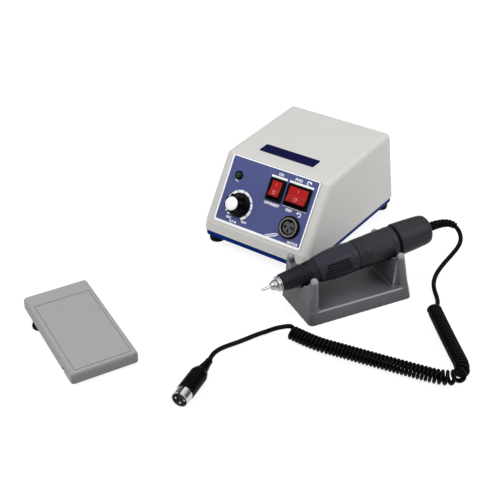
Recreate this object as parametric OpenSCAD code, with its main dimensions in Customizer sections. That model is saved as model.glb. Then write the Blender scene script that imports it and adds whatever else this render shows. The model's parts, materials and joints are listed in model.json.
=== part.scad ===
// Dental laboratory micromotor set: control unit, motor handpiece resting on its cradle,
// curly cord with a round plug, and a foot pedal. Millimetres, +Z up, the unit faces -Y.

/* [Control unit] */
// Width of the cover at its foot
unit_w = 112.4; // [104:0.1:130]
// Depth of the cover at its foot
unit_d = 154.5; // [145:0.5:180]
// Height of the upright skirt under the sloping front
skirt_h = 8.2; // [6:0.1:12]
// Set-back of the skirt's upper edge
skirt_set = 1.4; // [0.6:0.1:2.4]
// Length of the sloping front
slope_len = 66.5; // [64:0.5:76]
// Lean of the sloping front from upright
slope_lean = 31.8; // [27:0.1:36]
// Rise of the top from its front edge to its rear edge
top_rise = 5; // [1:0.5:8]
// Set-back of the top's rear edge from the foot
rear_set = 12.5; // [8:0.1:18]
// Draft of the sides, sideways for each unit of height
side_draft = 0.029; // [0.01:0.001:0.05]
// Wall of the cover
cover_wall = 3; // [2.2:0.1:3.4]
// Rounding of the cover's upper edges
edge_r = 5; // [4:0.5:8]
// Rounding of the cover's upright corners
corner_r = 7; // [6.6:0.1:10]
// Height of the base tray's visible band
tray_h = 5.3; // [3.5:0.1:7]
// Inset of the base tray from the cover's foot
tray_inset = 1; // [0.5:0.1:1.8]
// Floor of the base tray
tray_floor = 2.4; // [1.8:0.1:3]
// Height of the rubber feet
foot_h = 7.4; // [6:0.1:12]
// Radius of the rubber feet
foot_r = 7.5; // [6:0.1:8.5]
// Inset of the feet and of their screws from the sides
foot_inset = 9.5; // [9:0.1:14]

/* [Front panel] */
// Margin of the overlay at each side
overlay_side = 10; // [8:0.1:12]
// Margin of the overlay at its lower edge
overlay_low = 3.3; // [2:0.1:5]
// Margin of the overlay at its upper edge
overlay_top = 1; // [0.5:0.1:3]
// Thickness of the overlay
overlay_t = 0.5; // [0.3:0.1:0.8]
// Pilot lamp from the overlay's left edge
lamp_x = 12.2; // [8:0.1:16]
// Pilot lamp from the slope's lower edge
lamp_s = 48.3; // [44:0.1:54]
// Radius of the pilot lamp's bezel
lamp_r = 4.1; // [3:0.1:5]
// Speed knob from the overlay's left edge
knob_x = 21.8; // [18:0.1:24]
// Speed knob from the slope's lower edge
knob_s = 23.3; // [20:0.1:26]
// Direction switch from the overlay's right edge
direction_x = 17.4; // [15:0.1:20]
// Spacing of the two switches
switch_pitch = 22.4; // [21:0.1:26]
// Switches from the slope's lower edge
switch_s = 46.5; // [45:0.1:52]
// Motor socket from the overlay's right edge
socket_x = 16.2; // [14:0.1:20]
// Motor socket from the slope's lower edge
socket_s = 19.7; // [17:0.1:24]

/* [Speed knob] */
// Radius of the knob's skirt
knob_r = 11; // [10:0.1:12]
// Height of the knob over the overlay
knob_h = 16.4; // [12:0.1:18]
// Height of the knob's skirt
knob_skirt_h = 3; // [2:0.1:4]
// Radius of the fluted body at its foot
knob_body_r = 9.4; // [8.6:0.1:9.8]
// Radius of the fluted body under its chamfer
knob_top_r = 8.9; // [8:0.1:9.2]
// Height of the knob's upper chamfer
knob_chamfer = 2.6; // [1.6:0.1:3]
// Number of flutes
knob_flutes = 12; // [8:1:18]
// Radius of the bright cap
cap_r = 6.2; // [5:0.1:6.6]
// Radius of the control's shaft
shaft_r = 3; // [2.5:0.1:3.2]

/* [Rocker switches] */
// Length of both switch bezels along the slope
switch_l = 20; // [19:0.1:23]
// Width of the power switch's bezel
power_w = 15.8; // [15:0.1:18]
// Width of the direction switch's bezel
direction_w = 23.8; // [23.4:0.1:26]
// Height of the bezels
bezel_h = 1.8; // [1.2:0.1:2.4]
// Width of the power rocker
power_key_w = 9.6; // [8:0.1:10]
// Width of the direction rocker
direction_key_w = 19; // [16:0.1:19.4]
// Depth of the switch bodies behind the panel
switch_deep = 15; // [12:0.5:20]
// Full swing of a rocker
rocker_swing = 18; // [12:1:20]

/* [Motor socket and plug] */
// Radius of the plug's metal shell
shell_r = 6.6; // [6:0.05:7]
// Wall of the plug's metal shell
shell_wall = 0.7; // [0.5:0.05:0.9]
// Length of the shell past the plug's body
shell_out = 8; // [6:0.1:10]
// Radius of the plug's body, which lies on the table
plug_r = 7; // [6.9:0.05:8]
// Length of the plug's body with its relief cone
plug_len = 41; // [36:0.5:48]
// Radius of the socket's flange
socket_flange_r = 10.2; // [9.6:0.1:11]
// Radius of the socket's front ring
socket_ring_r = 8.7; // [8:0.1:9]
// Height of the socket's front ring over the panel
socket_out = 3.4; // [3.2:0.1:6]
// Pitch circle radius of the contacts
contact_pcr = 3.5; // [3:0.1:3.8]

/* [Cradle] */
// Length of the cradle's foot
cradle_l = 97; // [90:0.5:110]
// Width of the cradle's foot
cradle_w = 52.4; // [48:0.1:60]
// Height of the cradle's deck
deck_h = 12.5; // [10:0.5:16]
// Height of the posts at the nose end
post_nose_h = 42.5; // [41:0.5:48]
// Height of the posts at the cord end
post_cord_h = 44.5; // [44:0.5:52]
// Rounding of the posts' tops
post_round = 3.2; // [2.8:0.1:3.6]
// Radius of the posts at their foot
post_foot = 5.2; // [4.6:0.1:5.6]
// Lean of the posts at the cord end, inward over their height
cord_lean = 5.7; // [4:0.1:8]
// Rounding of the foot's upright corners
cradle_corner = 4; // [3:0.1:4.5]
// Draft of the foot's sides over the deck's height
cradle_draft = 0.8; // [0.4:0.1:1.2]

/* [Handpiece] */
// Tilt of the handpiece, nose down
hp_tilt = 6.45; // [5:0.05:8]
// Height of the axis over the table, 40 mm from the cradle's nose end
hp_z = 37.55; // [37:0.05:39]
// Length of the front sleeve
sleeve_len = 31.5; // [28:0.1:34]
// Radius of the front sleeve at the nose
sleeve_r0 = 7.2; // [7:0.1:8]
// Radius of the front sleeve at the chuck ring
sleeve_r1 = 9.9; // [9.6:0.1:10.4]
// Length of the chuck ring
ring_len = 36.3; // [33:0.1:40]
// Largest radius of the chuck ring
ring_r = 13; // [12.4:0.1:13.4]
// Length of the motor housing
motor_len = 36.8; // [35:0.1:42]
// Largest radius of the motor housing
motor_r = 13.4; // [13:0.1:13.8]
// Length of the rear cap
rear_len = 31; // [28:0.1:34]
// Largest radius of the rear cap
rear_r = 14; // [13.7:0.1:14.4]
// Radius of the tool's shank
tool_r = 1.175; // [1:0.005:1.6]
// Free length of the tool in front of the nose
tool_out = 8; // [5:0.5:20]
// Twist of the chuck ring
chuck_twist = 40; // [20:1:60]

/* [Cord] */
// Diameter of the cord
cord_d = 3.8; // [3.4:0.1:4.2]
// Thickness of the cord along the coil, where the curls press it flat
cord_flat = 2.8; // [2.4:0.1:3]
// Outer diameter of the coil
coil_d = 12; // [11:0.1:13]
// Number of curls
curls = 68.5; // [60.5:1:70.5]

/* [Foot pedal] */
// Width of the tread
ped_w = 55; // [52:0.5:66]
// Length of the tread
ped_l = 104.7; // [98:0.1:120]
// Rounding of the tread's corners
ped_corner = 3; // [2.8:0.1:4.5]
// Height of the tread's skirt
ped_skirt = 9.4; // [8.5:0.1:11]
// Wall of the tread
ped_wall = 2.2; // [1.8:0.1:2.6]
// Tilt of the tread at rest
ped_pitch = 3.5; // [3:0.1:4]
// Stroke of the tread
ped_stroke = 3.2; // [2:0.1:3.4]
// Hinge from the tread's near edge
hinge_y = 17.4; // [14:0.1:22]
// Height of the hinge over the table
hinge_z = 5; // [4.8:0.1:6]
// Radius of the hinge pin
hinge_r = 1.6; // [1.2:0.05:1.8]
// Height of the pedal's rubber feet
ped_foot_h = 3; // [2:0.1:3.4]

/* [Hidden] */
$fn = 48;
// Running clearance of shafts and pins, fit of fixed pieces, gap of a resting piece
run = 0.05;
fit = 0.03;
rest = 0.25;
// Layout: the shift that centres the set, then the places of the cradle and the pedal
lay_x = 23.56;
lay_y = -29.33;
cradle_x = 94.9;
cradle_y = -55.4;
cradle_yaw = 60.65;
ped_x = -10.1;
ped_y = -219.25;
ped_yaw = 65.35;

// Side profile of the cover, as (depth, height) points from the front foot round to the rear foot
cover_z = foot_h + tray_h;
slope_z = cover_z + skirt_h;
p0 = [0, cover_z];
p1 = [skirt_set, slope_z];
p2 = p1 + slope_len * [sin(slope_lean), cos(slope_lean)];
p3 = [unit_d - rear_set, p2[1] + top_rise];
p4 = [unit_d, cover_z];
rear_lean = atan2(rear_set, p3[1] - cover_z);
function inward(a, b) = let (d = (b - a) / norm(b - a)) [d[1], -d[0]];
function inset(a, b, c, r) = let (n = inward(a, b), m = inward(b, c)) b + r * (n + m) / (1 + n * m);
function half_w(z) = unit_w / 2 - side_draft * (z - cover_z);

// Panel places measured from the middle of the slope
overlay_w = unit_w - 2 * overlay_side;
overlay_l = slope_len - overlay_low - overlay_top;
lamp_u = -overlay_w / 2 + lamp_x;
knob_u = -overlay_w / 2 + knob_x;
direction_u = overlay_w / 2 - direction_x;
power_u = direction_u - switch_pitch;
socket_u = overlay_w / 2 - socket_x;
bush_r = shaft_r + 1;
lamp_barrel_r = lamp_r - 0.8;
socket_well_r = shell_r + 0.15;
socket_core_r = shell_r - shell_wall - 0.25;
socket_barrel_r = socket_well_r + 1.3;

// Places of the feet, which also take the case screws
feet = [for (x = [-1, 1], y = [foot_inset, unit_d - foot_inset]) [x * (unit_w / 2 - foot_inset), y]];
screw_r = 1.6;
post_r = 3.3;
lip_in = cover_wall + 1.2;
lip_t = 1.4;
floor_z = foot_h + tray_floor;
board_z = floor_z + 10;
board = [80, 30, 1.6];
core = [60, 24, 50];
core_y = unit_d - 67;
core_leg = 20;
core_yoke = 10;
winding_out = 8;
board_y = core_y - winding_out - 2.5 - board[1];
board_posts = [for (x = [-1, 1], y = [5, board[1] - 5]) [x * (board[0] / 2 - 5), board_y + y]];

// Stations along the handpiece from the sleeve's front face
hp_ref = 54.7;
ring_z = sleeve_len + 0.3;
motor_z = ring_z + ring_len + 0.3;
motor_end = motor_z + motor_len;
neck_len = 2.2;
rear_z = motor_end + neck_len;
rear_end = rear_z + rear_len;
tube_r = 8.8;
bearing_r = 5.8;
spindle_r = 3.4;
collet_r = 2.3;
motor_bore = 11.2;
web_z = motor_z + 2;
web_t = 5.2;
motor_shaft_r = 2;
motor_brg_r = 5;
armature_r = 8;
magnet_z = web_z + web_t + 1.5;
magnet_len = 24;
brush_z = motor_end + 0.6;
brush_len = 10;
commutator_r = 4.6;
brush_w = 4;
boot_r = 4.3;
boot_tip = 2.9;
boot_ribs = 9;

// Curves: a cubic through four points, its direction, and triangles over rings of points
function bez(p, t) = let (s = 1 - t)
    s * s * s * p[0] + 3 * s * s * t * p[1] + 3 * s * t * t * p[2] + t * t * t * p[3];
function unit(v) = v / norm(v);
function ring(c, u, v, a, b, n) =
    [for (k = [0:n - 1]) c + a * cos(360 * k / n) * u + b * sin(360 * k / n) * v];
function ring_faces(m, n) = concat(
    [for (k = [1:n - 2]) [0, k, k + 1]],
    [for (i = [0:m - 2], k = [0:n - 1]) [i * n + k, (i + 1) * n + k, (i + 1) * n + (k + 1) % n]],
    [for (i = [0:m - 2], k = [0:n - 1]) [i * n + k, (i + 1) * n + (k + 1) % n, i * n + (k + 1) % n]],
    [for (k = [1:n - 2]) [(m - 1) * n, (m - 1) * n + k + 1, (m - 1) * n + k]]);
function flat(l) = [for (a = l, b = a) b];
// Samples of a chain of cubics, and the direction at each sample
function chain(c, steps) = concat([for (p = c, i = [0:steps - 1]) bez(p, i / steps)], [c[len(c) - 1][3]]);
function heading(q, i) = unit(q[min(i + 1, len(q) - 1)] - q[max(i - 1, 0)]);
module tube(q, r, n, side) {
    first = unit(q[1] - q[0]);
    last = unit(q[len(q) - 1] - q[len(q) - 2]);
    t = [for (i = [0:len(q) - 1]) i == 0 ? first : i == len(q) - 1 ? last : heading(q, i)];
    rings = [for (i = [0:len(q) - 1])
        let (u = unit(cross(side, t[i])), v = cross(t[i], u))
        ring(q[i], u, v, r[i], r[i], n)];
    polyhedron(flat(rings), ring_faces(len(q), n));
}

// Route of the cord on the table. Each row is one cubic, in the layout's own coordinates.
hp_dir = [cos(hp_tilt) * cos(cradle_yaw), cos(hp_tilt) * sin(cradle_yaw), sin(hp_tilt)];
hp_org = [cradle_x + 40 * cos(cradle_yaw) - cradle_w / 2 * sin(cradle_yaw),
    cradle_y + 40 * sin(cradle_yaw) + cradle_w / 2 * cos(cradle_yaw), hp_z];
boot_start = hp_org + (rear_end - hp_ref) * hp_dir;
boot_route = [boot_start, boot_start + 9 * hp_dir, [142.6, 84.7, 49], [148.8, 86.8, 44]];
lead_a = [
    [[148.8, 86.8, 44], [153, 88.2, 40.3], [157.5, 86, 36], [157, 81, 31]],
    [[157, 81, 31], [156.4, 75, 25], [149, 66, 16], [149.5, 57, 10]],
    [[149.5, 57, 10], [150, 48, 4], [157, 44, 2.5], [162, 36.5, 2]],
    [[162, 36.5, 2], [165, 32, 1.95], [166, 29, 1.95], [166, 23.8, 1.95]]];
coil_route = [
    [[166, 20], [172, 13], [202, -19], [213, -30]],
    [[213, -30], [226, -43], [224, -54], [205, -58.5]],
    [[205, -58.5], [181, -64], [147, -70], [122, -75]],
    [[122, -75], [110, -77], [100, -76], [86, -75.5]]];
lead_b_end = [59.5, -142, 7.2];
plug_dir = [0.19, -0.98, 0];
lead_b_mid = [
    [[61, -104, 2], [56, -116, 2], [53, -128, 6.5], [59.5, -142, 7.2] - 0.1 * plug_dir]];

// The coil's axis is sampled, and the turns are shared out along it: fewer where it bends, so that
// the curls fan out there, and fewer at the two ends, where the cord runs out of the coil.
coil_c = coil_d / 2 - cord_d / 2;
axis_pts = chain(coil_route, 60);
axis_n = len(axis_pts) - 1;
function bend(i) = i == 0 || i == axis_n ? 0 :
    let (a = axis_pts[i] - axis_pts[i - 1], b = axis_pts[i + 1] - axis_pts[i])
    abs(atan2(a[0] * b[1] - a[1] * b[0], a * b)) * PI / 180 / (norm(a) / 2 + norm(b) / 2);
step_len = [for (i = [0:axis_n - 1]) norm(axis_pts[i + 1] - axis_pts[i])];
function sums(v, i = 0, s = 0, out = []) =
    i == len(v) ? concat(out, [s]) : sums(v, i + 1, s + v[i], concat(out, [s]));
along = sums(step_len);
coil_len = along[axis_n];
run_out = 9;
function share(s) = let (e = min(s, coil_len - s) / run_out) e >= 1 ? 1 : 0.14 + 0.86 * e * e * (3 - 2 * e);
weight = [for (i = [0:axis_n - 1])
    step_len[i] * (1 - (bend(i) + bend(i + 1)) / 2 * coil_d / 2) * share((along[i] + along[i + 1]) / 2)];
turn_sum = sums(weight);
turn_at = [for (i = [0:axis_n]) [curls * turn_sum[i] / turn_sum[axis_n], i]];
// Centre of the cord at a turn count, with the directions out of the coil and along it
function axis_pos(w) = let (f = lookup(w, turn_at), i = min(floor(f), axis_n - 1), g = f - i)
    axis_pts[i] * (1 - g) + axis_pts[i + 1] * g;
function axis_dir(w) = let (f = lookup(w, turn_at), i = min(floor(f), axis_n - 1), g = f - i,
    a = heading(axis_pts, i), b = heading(axis_pts, i + 1)) unit(a * (1 - g) + b * g);
function curl_out(w) = let (d = axis_dir(w), a = -90 - 360 * w) [-d[1] * cos(a), d[0] * cos(a), sin(a)];
function curl_pos(w) = let (c = axis_pos(w)) [c[0], c[1], coil_d / 2] + coil_c * curl_out(w);
rings_per_curl = 8;
curl_n = round(curls * rings_per_curl);
curl_c = [for (k = [0:curl_n]) curl_pos(k / rings_per_curl)];
curl_u = [for (k = [0:curl_n]) curl_out(k / rings_per_curl)];
curl_t = [for (k = [0:curl_n]) heading(curl_c, k)];
start_t = unit([curl_t[0][0], curl_t[0][1], 0]);
end_t = unit([curl_t[curl_n][0], curl_t[curl_n][1], 0]);
coil_start = curl_c[0] - cord_d * start_t;
coil_end = curl_c[curl_n] + cord_d * end_t;

// Placing
module lay() translate([-lay_x, -lay_y, 0]) children();
module on_panel(u, s, h = 0) lay() translate([0, skirt_set, slope_z]) rotate([90 - slope_lean, 0, 0])
    translate([u, s, h]) children();
module on_rear(x, s) lay() translate([0, unit_d, cover_z]) rotate([rear_lean, 0, 0]) rotate([90, 0, 180])
    translate([x, s, 0]) children();
module on_cradle() lay() translate([cradle_x, cradle_y, 0]) rotate(cradle_yaw) children();
module on_hp(z = 0) on_cradle() translate([40, cradle_w / 2, hp_z]) rotate([0, 90 - hp_tilt, 0])
    translate([0, 0, z - hp_ref]) children();
module on_pedal() lay() translate([ped_x, ped_y, 0]) rotate(ped_yaw) children();
module on_tread() on_pedal() translate([0, hinge_y, hinge_z]) rotate([ped_pitch, 0, 0])
    translate([0, -hinge_y, 0]) children();
module on_plug(z = 0) lay() translate(lead_b_end) translate([0, 0, plug_r - lead_b_end[2]])
    rotate([90, 0, atan2(plug_dir[1], plug_dir[0]) + 90]) translate([0, 0, z]) children();

// Flat shapes
module round_rect(w, l, r) {
    translate([-w / 2 + r, -l / 2]) square([w - 2 * r, l]);
    translate([-w / 2, -l / 2 + r]) square([w, l - 2 * r]);
    for (x = [-1, 1], y = [-1, 1]) translate([x * (w / 2 - r), y * (l / 2 - r)]) circle(r);
}
module slab(w, l, r, z, h) translate([0, unit_d / 2, z]) linear_extrude(h) round_rect(w, l, r);
module hollow(ro, ri, h) difference() {
    cylinder(r = ro, h = h);
    translate([0, 0, -1]) cylinder(r = ri, h = h + 2);
}

// Cover: a moulded shell with rounded edges
module cover_block() lay() hull() for (x = [-1, 1]) {
    for (y = [corner_r, unit_d - corner_r]) translate([x * (unit_w / 2 - corner_r), y, cover_z])
        cylinder(r = corner_r, h = 0.5, $fn = 32);
    translate([x * (half_w(slope_z) - corner_r), skirt_set + corner_r, slope_z - 0.5])
        cylinder(r = corner_r, h = 0.5, $fn = 32);
    for (c = [inset(p1, p2, p3, edge_r), inset(p2, p3, p4, edge_r)])
        translate([x * (half_w(c[1]) - edge_r), c[0], c[1]]) sphere(edge_r, $fn = 32);
}
module cover_cavity() {
    q1 = inset(p0, p1, p2, cover_wall);
    q2 = inset(p1, p2, p3, cover_wall);
    q3 = inset(p2, p3, p4, cover_wall);
    in_w = half_w(p3[1]) - cover_wall;
    cut = edge_r * 0.75;
    intersection() {
        lay() translate([-unit_w, 0, 0]) rotate([90, 0, 90]) linear_extrude(2 * unit_w)
            polygon([[cover_wall, cover_z - 1], q1, q2, q3,
                [unit_d - cover_wall / cos(rear_lean) + tan(rear_lean), cover_z - 1]]);
        lay() translate([0, 2 * unit_d, 0]) rotate([90, 0, 0]) linear_extrude(3 * unit_d)
            polygon([[-unit_w / 2 + cover_wall, 0], [-in_w, p2[1] - cut], [-in_w + cut, p3[1]],
                [in_w - cut, p3[1]], [in_w, p2[1] - cut], [unit_w / 2 - cover_wall, 0]]);
        union() {
            on_panel(0, -2 * unit_d) rotate([-90, 0, 0]) mirror([0, 1, 0]) linear_extrude(4 * unit_d)
                polygon([[-unit_w, -2 * unit_d], [-in_w, -cover_wall - cut], [-in_w + cut, -cover_wall],
                    [in_w - cut, -cover_wall], [in_w, -cover_wall - cut], [unit_w, -2 * unit_d]]);
            lay() translate([-unit_w, -1, 0]) cube([2 * unit_w, unit_d + 2, slope_z - 1.5]);
        }
    }
}
module panel_holes(deep, up) {
    on_panel(lamp_u, lamp_s, -deep) cylinder(r = lamp_barrel_r + fit, h = deep + up);
    on_panel(knob_u, knob_s, -deep) cylinder(r = bush_r + fit, h = deep + up);
    on_panel(socket_u, socket_s, -deep) cylinder(r = socket_barrel_r + fit, h = deep + up);
    for (s = [[power_u, power_w], [direction_u, direction_w]]) on_panel(s[0], switch_s, -deep)
        linear_extrude(deep + up) square([s[1] - 2 + 2 * fit, switch_l - 1.6 + 2 * fit], center = true);
}
rear_s = 24;
gland_x = -unit_w / 2 + 27;
fuse_x = 4;
jack_x = unit_w / 2 - 23;
gland_r = 5;
fuse_r = 6;
jack_r = 4.6;
module cover() color("gainsboro") difference() {
    union() {
        difference() {
            cover_block();
            cover_cavity();
        }
        intersection() {
            cover_block();
            lay() for (f = feet) translate([f[0], f[1], cover_z]) cylinder(r = post_r, h = p3[1]);
        }
    }
    lay() for (f = feet) translate([f[0], f[1], cover_z - 1]) cylinder(r = screw_r + fit, h = 13);
    panel_holes(12, 3);
    for (h = [[gland_x, gland_r], [fuse_x, fuse_r], [jack_x, jack_r]])
        on_rear(h[0], rear_s) translate([0, 0, -12]) cylinder(r = h[1] + fit, h = 20);
}

// Base tray with its locating lip and the board's posts
module base_tray() color("midnightblue") lay() difference() {
    union() {
        difference() {
            union() {
                slab(unit_w - 2 * tray_inset, unit_d - 2 * tray_inset, corner_r - tray_inset,
                    foot_h, tray_h);
                slab(unit_w - 2 * lip_in, unit_d - 2 * lip_in, corner_r - lip_in, foot_h, tray_h + 2.6);
            }
            slab(unit_w - 2 * lip_in - 2 * lip_t, unit_d - 2 * lip_in - 2 * lip_t, corner_r - lip_in - lip_t,
                floor_z, tray_h + 6);
        }
        for (b = board_posts) translate([b[0], b[1], foot_h]) cylinder(r = 3, h = board_z - foot_h);
        for (f = feet) translate([f[0], f[1], foot_h]) cylinder(r = post_r, h = tray_h);
    }
    for (f = feet) translate([f[0], f[1], 0]) cylinder(r = screw_r + 0.15, h = 40);
}
module rubber_feet() color("dimgray") lay() for (f = feet) translate([f[0], f[1], 0]) rotate_extrude()
    polygon([[screw_r + 0.15, foot_h], [screw_r + 0.15, 5.2], [3.6, 5.2], [3.6, 0], [foot_r - 1.2, 0],
        [foot_r - 0.6, 0.5], [foot_r, foot_h]]);
module base_screws() color("silver") lay() for (f = feet) translate([f[0], f[1], 3]) rotate_extrude()
    polygon([[0, 0.8], [1, 0.8], [1, 0], [3.2, 0], [3.2, 2.2], [screw_r, 2.2], [screw_r, 20], [0, 20]]);

// Overlay with every opening of the panel
module panel_overlay() color("slateblue") difference() {
    on_panel(0, overlay_low + overlay_l / 2, 0.05) linear_extrude(overlay_t)
        round_rect(overlay_w, overlay_l, 2.5);
    panel_holes(2, 4);
}
seat = overlay_t + 0.05;
module lamp_bezel() color("black") on_panel(lamp_u, lamp_s) rotate_extrude() polygon([
    [lamp_barrel_r - 0.5, -9], [lamp_barrel_r, -9], [lamp_barrel_r, seat], [lamp_r, seat],
    [lamp_r, seat + 0.6], [lamp_r - 0.5, seat + 1.2], [lamp_barrel_r - 0.5, seat + 1.2]]);
module pilot_lamp() color("darkgreen") on_panel(lamp_u, lamp_s) rotate_extrude() polygon(concat(
    [[0, -8], [lamp_barrel_r - 0.5 - fit, -8]],
    [for (a = [0:10:90]) [(lamp_barrel_r - 0.5 - fit) * cos(a), seat + 0.9 + 1.9 * sin(a)]]));

// Switch bodies, open in front for their rockers, with blades behind
pivot_h = -2.6;
rocker_half = switch_l / 2 - 3.2;
well_l = switch_l - 3;
module switch_body(u, w, key_w, blades) on_panel(u, switch_s) {
    difference() {
        union() {
            translate([0, 0, seat]) linear_extrude(bezel_h) round_rect(w, switch_l, 1.2);
            translate([0, 0, -switch_deep]) linear_extrude(switch_deep + seat + 0.1)
                square([w - 2, switch_l - 1.6], center = true);
        }
        translate([0, 0, -9]) linear_extrude(20) square([key_w + 0.6, well_l], center = true);
        translate([-w / 2 + 1.4, 0, pivot_h]) rotate([0, 90, 0]) cylinder(r = 1.2 + run, h = w - 2.8);
    }
    for (b = blades) translate([b[0] - 0.4, b[1] - 2.4, -switch_deep - 7]) cube([0.8, 4.8, 7]);
}
module power_switch() color("black") switch_body(power_u, power_w, power_key_w, [[0, -5], [0, 5]]);
module direction_switch() color("black") switch_body(direction_u, direction_w,
    direction_key_w, [for (x = [-6, 6], y = [-6, 0, 6]) [x, y]]);
// A rocker: two faces that meet in a shallow valley, on a trunnion
module rocker(u, w) on_panel(u, switch_s, pivot_h) rotate([-rocker_swing / 2, 0, 0]) {
    rotate([90, 0, 90]) translate([0, 0, -w / 2]) linear_extrude(w) polygon([
        [-rocker_half, 6.5], [0, 5.4], [rocker_half, 6.5], [rocker_half + 0.15, 5.4],
        [rocker_half - 2.6, -3], [2, -4.4], [-2, -4.4], [-rocker_half + 2.6, -3],
        [-rocker_half - 0.15, 5.4]]);
    translate([-w / 2 - 0.9, 0, 0]) rotate([0, 90, 0]) cylinder(r = 1.2, h = w + 1.8);
}
module power_rocker() color("firebrick") rocker(power_u, power_key_w);
module direction_rocker() color("firebrick") rocker(direction_u, direction_key_w);

// Socket: flange, front ring, well and core with its contact slots
module motor_socket() color("black") on_panel(socket_u, socket_s) difference() {
    rotate_extrude() polygon([[socket_well_r, -9], [socket_barrel_r, -9], [socket_barrel_r, seat],
        [socket_flange_r, seat], [socket_flange_r, 1.8], [socket_flange_r - 0.6, 2.6],
        [socket_ring_r, 2.6], [socket_ring_r, socket_out - 0.5], [socket_ring_r - 0.5, socket_out],
        [socket_well_r + 0.3, socket_out], [socket_well_r, socket_out - 0.3]]);
}
module socket_core() color("dimgray") on_panel(socket_u, socket_s) difference() {
    union() {
        translate([0, 0, -11]) cylinder(r = socket_barrel_r, h = 2);
        translate([0, 0, -9]) cylinder(r = socket_core_r, h = 9 + socket_out - 1);
    }
    for (a = [0, 90, 180]) rotate(a + 180) translate([contact_pcr, 0, -6])
        linear_extrude(20) square([2.6, 1.3], center = true);
    translate([0, socket_core_r, -6]) cylinder(r = 1.8, h = 20);
}
// Control behind the knob
module speed_control() color("dimgray") on_panel(knob_u, knob_s) {
    difference() {
        union() {
            translate([0, 0, -cover_wall - 9.2]) cylinder(r = 8.5, h = 9);
            translate([0, 0, -cover_wall - 1]) cylinder(r = bush_r, h = cover_wall + 6);
        }
        translate([0, 0, -cover_wall - 8]) cylinder(r = shaft_r + run, h = 40);
    }
    for (x = [-4, 0, 4]) translate([x - 0.6, -13, -cover_wall - 7]) cube([1.2, 6, 0.6]);
}
module control_nut() color("silver") on_panel(knob_u, knob_s, seat) difference() {
    cylinder(r = bush_r + 1.8, h = 2.2, $fn = 6);
    translate([0, 0, -1]) cylinder(r = bush_r + fit, h = 5);
}
module control_shaft() color("silver") on_panel(knob_u, knob_s, -cover_wall - 7.8)
    cylinder(r = shaft_r, h = cover_wall + 7.8 + knob_h - 1);
module speed_knob() color("black") on_panel(knob_u, knob_s) difference() {
    rotate_extrude() polygon([[0, seat + 0.35], [knob_r, seat + 0.35], [knob_r, knob_skirt_h - 0.8],
        [knob_r - 0.8, knob_skirt_h], [knob_body_r, knob_skirt_h + 0.2], [knob_top_r, knob_h - knob_chamfer],
        [cap_r + 0.5, knob_h], [0, knob_h]]);
    translate([0, 0, -1]) cylinder(r = bush_r + 2.4, h = 6.8);
    cylinder(r = shaft_r + 0.01, h = knob_h - 1);
    translate([0, 0, knob_h - 0.8]) cylinder(r = cap_r, h = 2);
    for (k = [0:knob_flutes - 1]) rotate((k + 0.5) * 360 / knob_flutes)
        translate([knob_body_r + 0.5, 0, knob_skirt_h + 0.6])
            rotate([0, -atan2(knob_body_r - knob_top_r, knob_h - knob_skirt_h), 0])
                cylinder(r = 1.1, h = knob_h);
}
module knob_cap() color("whitesmoke") on_panel(knob_u, knob_s, knob_h - 0.8) rotate_extrude() polygon([
    [0, 0], [cap_r - fit, 0], [cap_r - fit, 1.2], [cap_r - 0.5, 1.7], [0, 1.9]]);

// Inside of the unit
module transformer_core() color("slategray") lay() translate([-core[0] / 2, core_y, floor_z]) difference() {
    cube(core);
    for (x = [core_yoke, core[0] / 2 + core_leg / 2]) translate([x, -1, core_yoke])
        cube([(core[0] - core_leg) / 2 - core_yoke, core[1] + 2, core[2] - 2 * core_yoke]);
}
module transformer_winding() color("peru") lay()
    translate([0, core_y + core[1] / 2, floor_z + core_yoke + 0.2])
        linear_extrude(core[2] - 2 * core_yoke - 0.4) difference() {
            square([core[0] - 2 * core_yoke - 0.4, core[1] + 2 * winding_out], center = true);
            square([core_leg + 0.4, core[1] + 0.4], center = true);
        }
module circuit_board() color("seagreen") lay() difference() {
    translate([-board[0] / 2, board_y, board_z]) cube(board);
    for (b = board_posts) translate([b[0], b[1], board_z - 1]) cylinder(r = 1.4, h = 5);
}
module board_parts() color("darkslateblue") lay() translate([0, board_y, board_z + board[2]]) {
    for (x = [-26, -10]) translate([x, 16, 0]) rotate_extrude()
        polygon([[0, 0], [6.2, 0], [6.2, 1], [5.8, 1.6], [6.2, 2.2], [6.2, 21], [5.6, 21.6], [0, 21.6]]);
    for (y = [6, 22]) translate([13, y, 0]) cube([10, 4, 9]);
    translate([30, 3, 0]) cube([2.5, 24, 16]);
    for (k = [0:5]) translate([32.5, 3 + k * 4.4, 0]) cube([5, 2, 16]);
}
// Rear face: a bush for the mains lead, a fuse holder and a jack for the pedal
module mains_bush() color("black") on_rear(gland_x, rear_s) rotate_extrude() polygon([
    [3.2, -cover_wall - 2.5], [gland_r + 1.2, -cover_wall - 2.5], [gland_r + 1.2, -cover_wall - 0.1],
    [gland_r, -cover_wall - 0.1], [gland_r, 0.1], [gland_r + 2, 0.1], [gland_r + 2, 2.4], [gland_r, 3],
    [gland_r - 0.9, 7], [3.2, 7]]);
module fuse_holder() color("black") on_rear(fuse_x, rear_s) {
    rotate_extrude() polygon([[0, -20], [fuse_r, -20], [fuse_r, 0.1], [fuse_r + 2, 0.1], [fuse_r + 2, 2],
        [fuse_r - 0.4, 2.6], [fuse_r - 0.4, 7.46], [fuse_r - 1, 8.06], [0, 8.06]]);
    translate([-2.4, -0.4, -25]) cube([4.8, 0.8, 5]);
}
module pedal_jack() color("silver") on_rear(jack_x, rear_s) difference() {
    union() {
        translate([0, 0, 0.1]) cylinder(r = jack_r + 2, h = 2, $fn = 6);
        translate([0, 0, -cover_wall - 0.2]) cylinder(r = jack_r, h = cover_wall + 4);
        translate([-7, -7, -cover_wall - 18]) cube([14, 14, 17.8]);
    }
    translate([0, 0, -cover_wall - 14]) cylinder(r = 3.2, h = 40);
}

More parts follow.
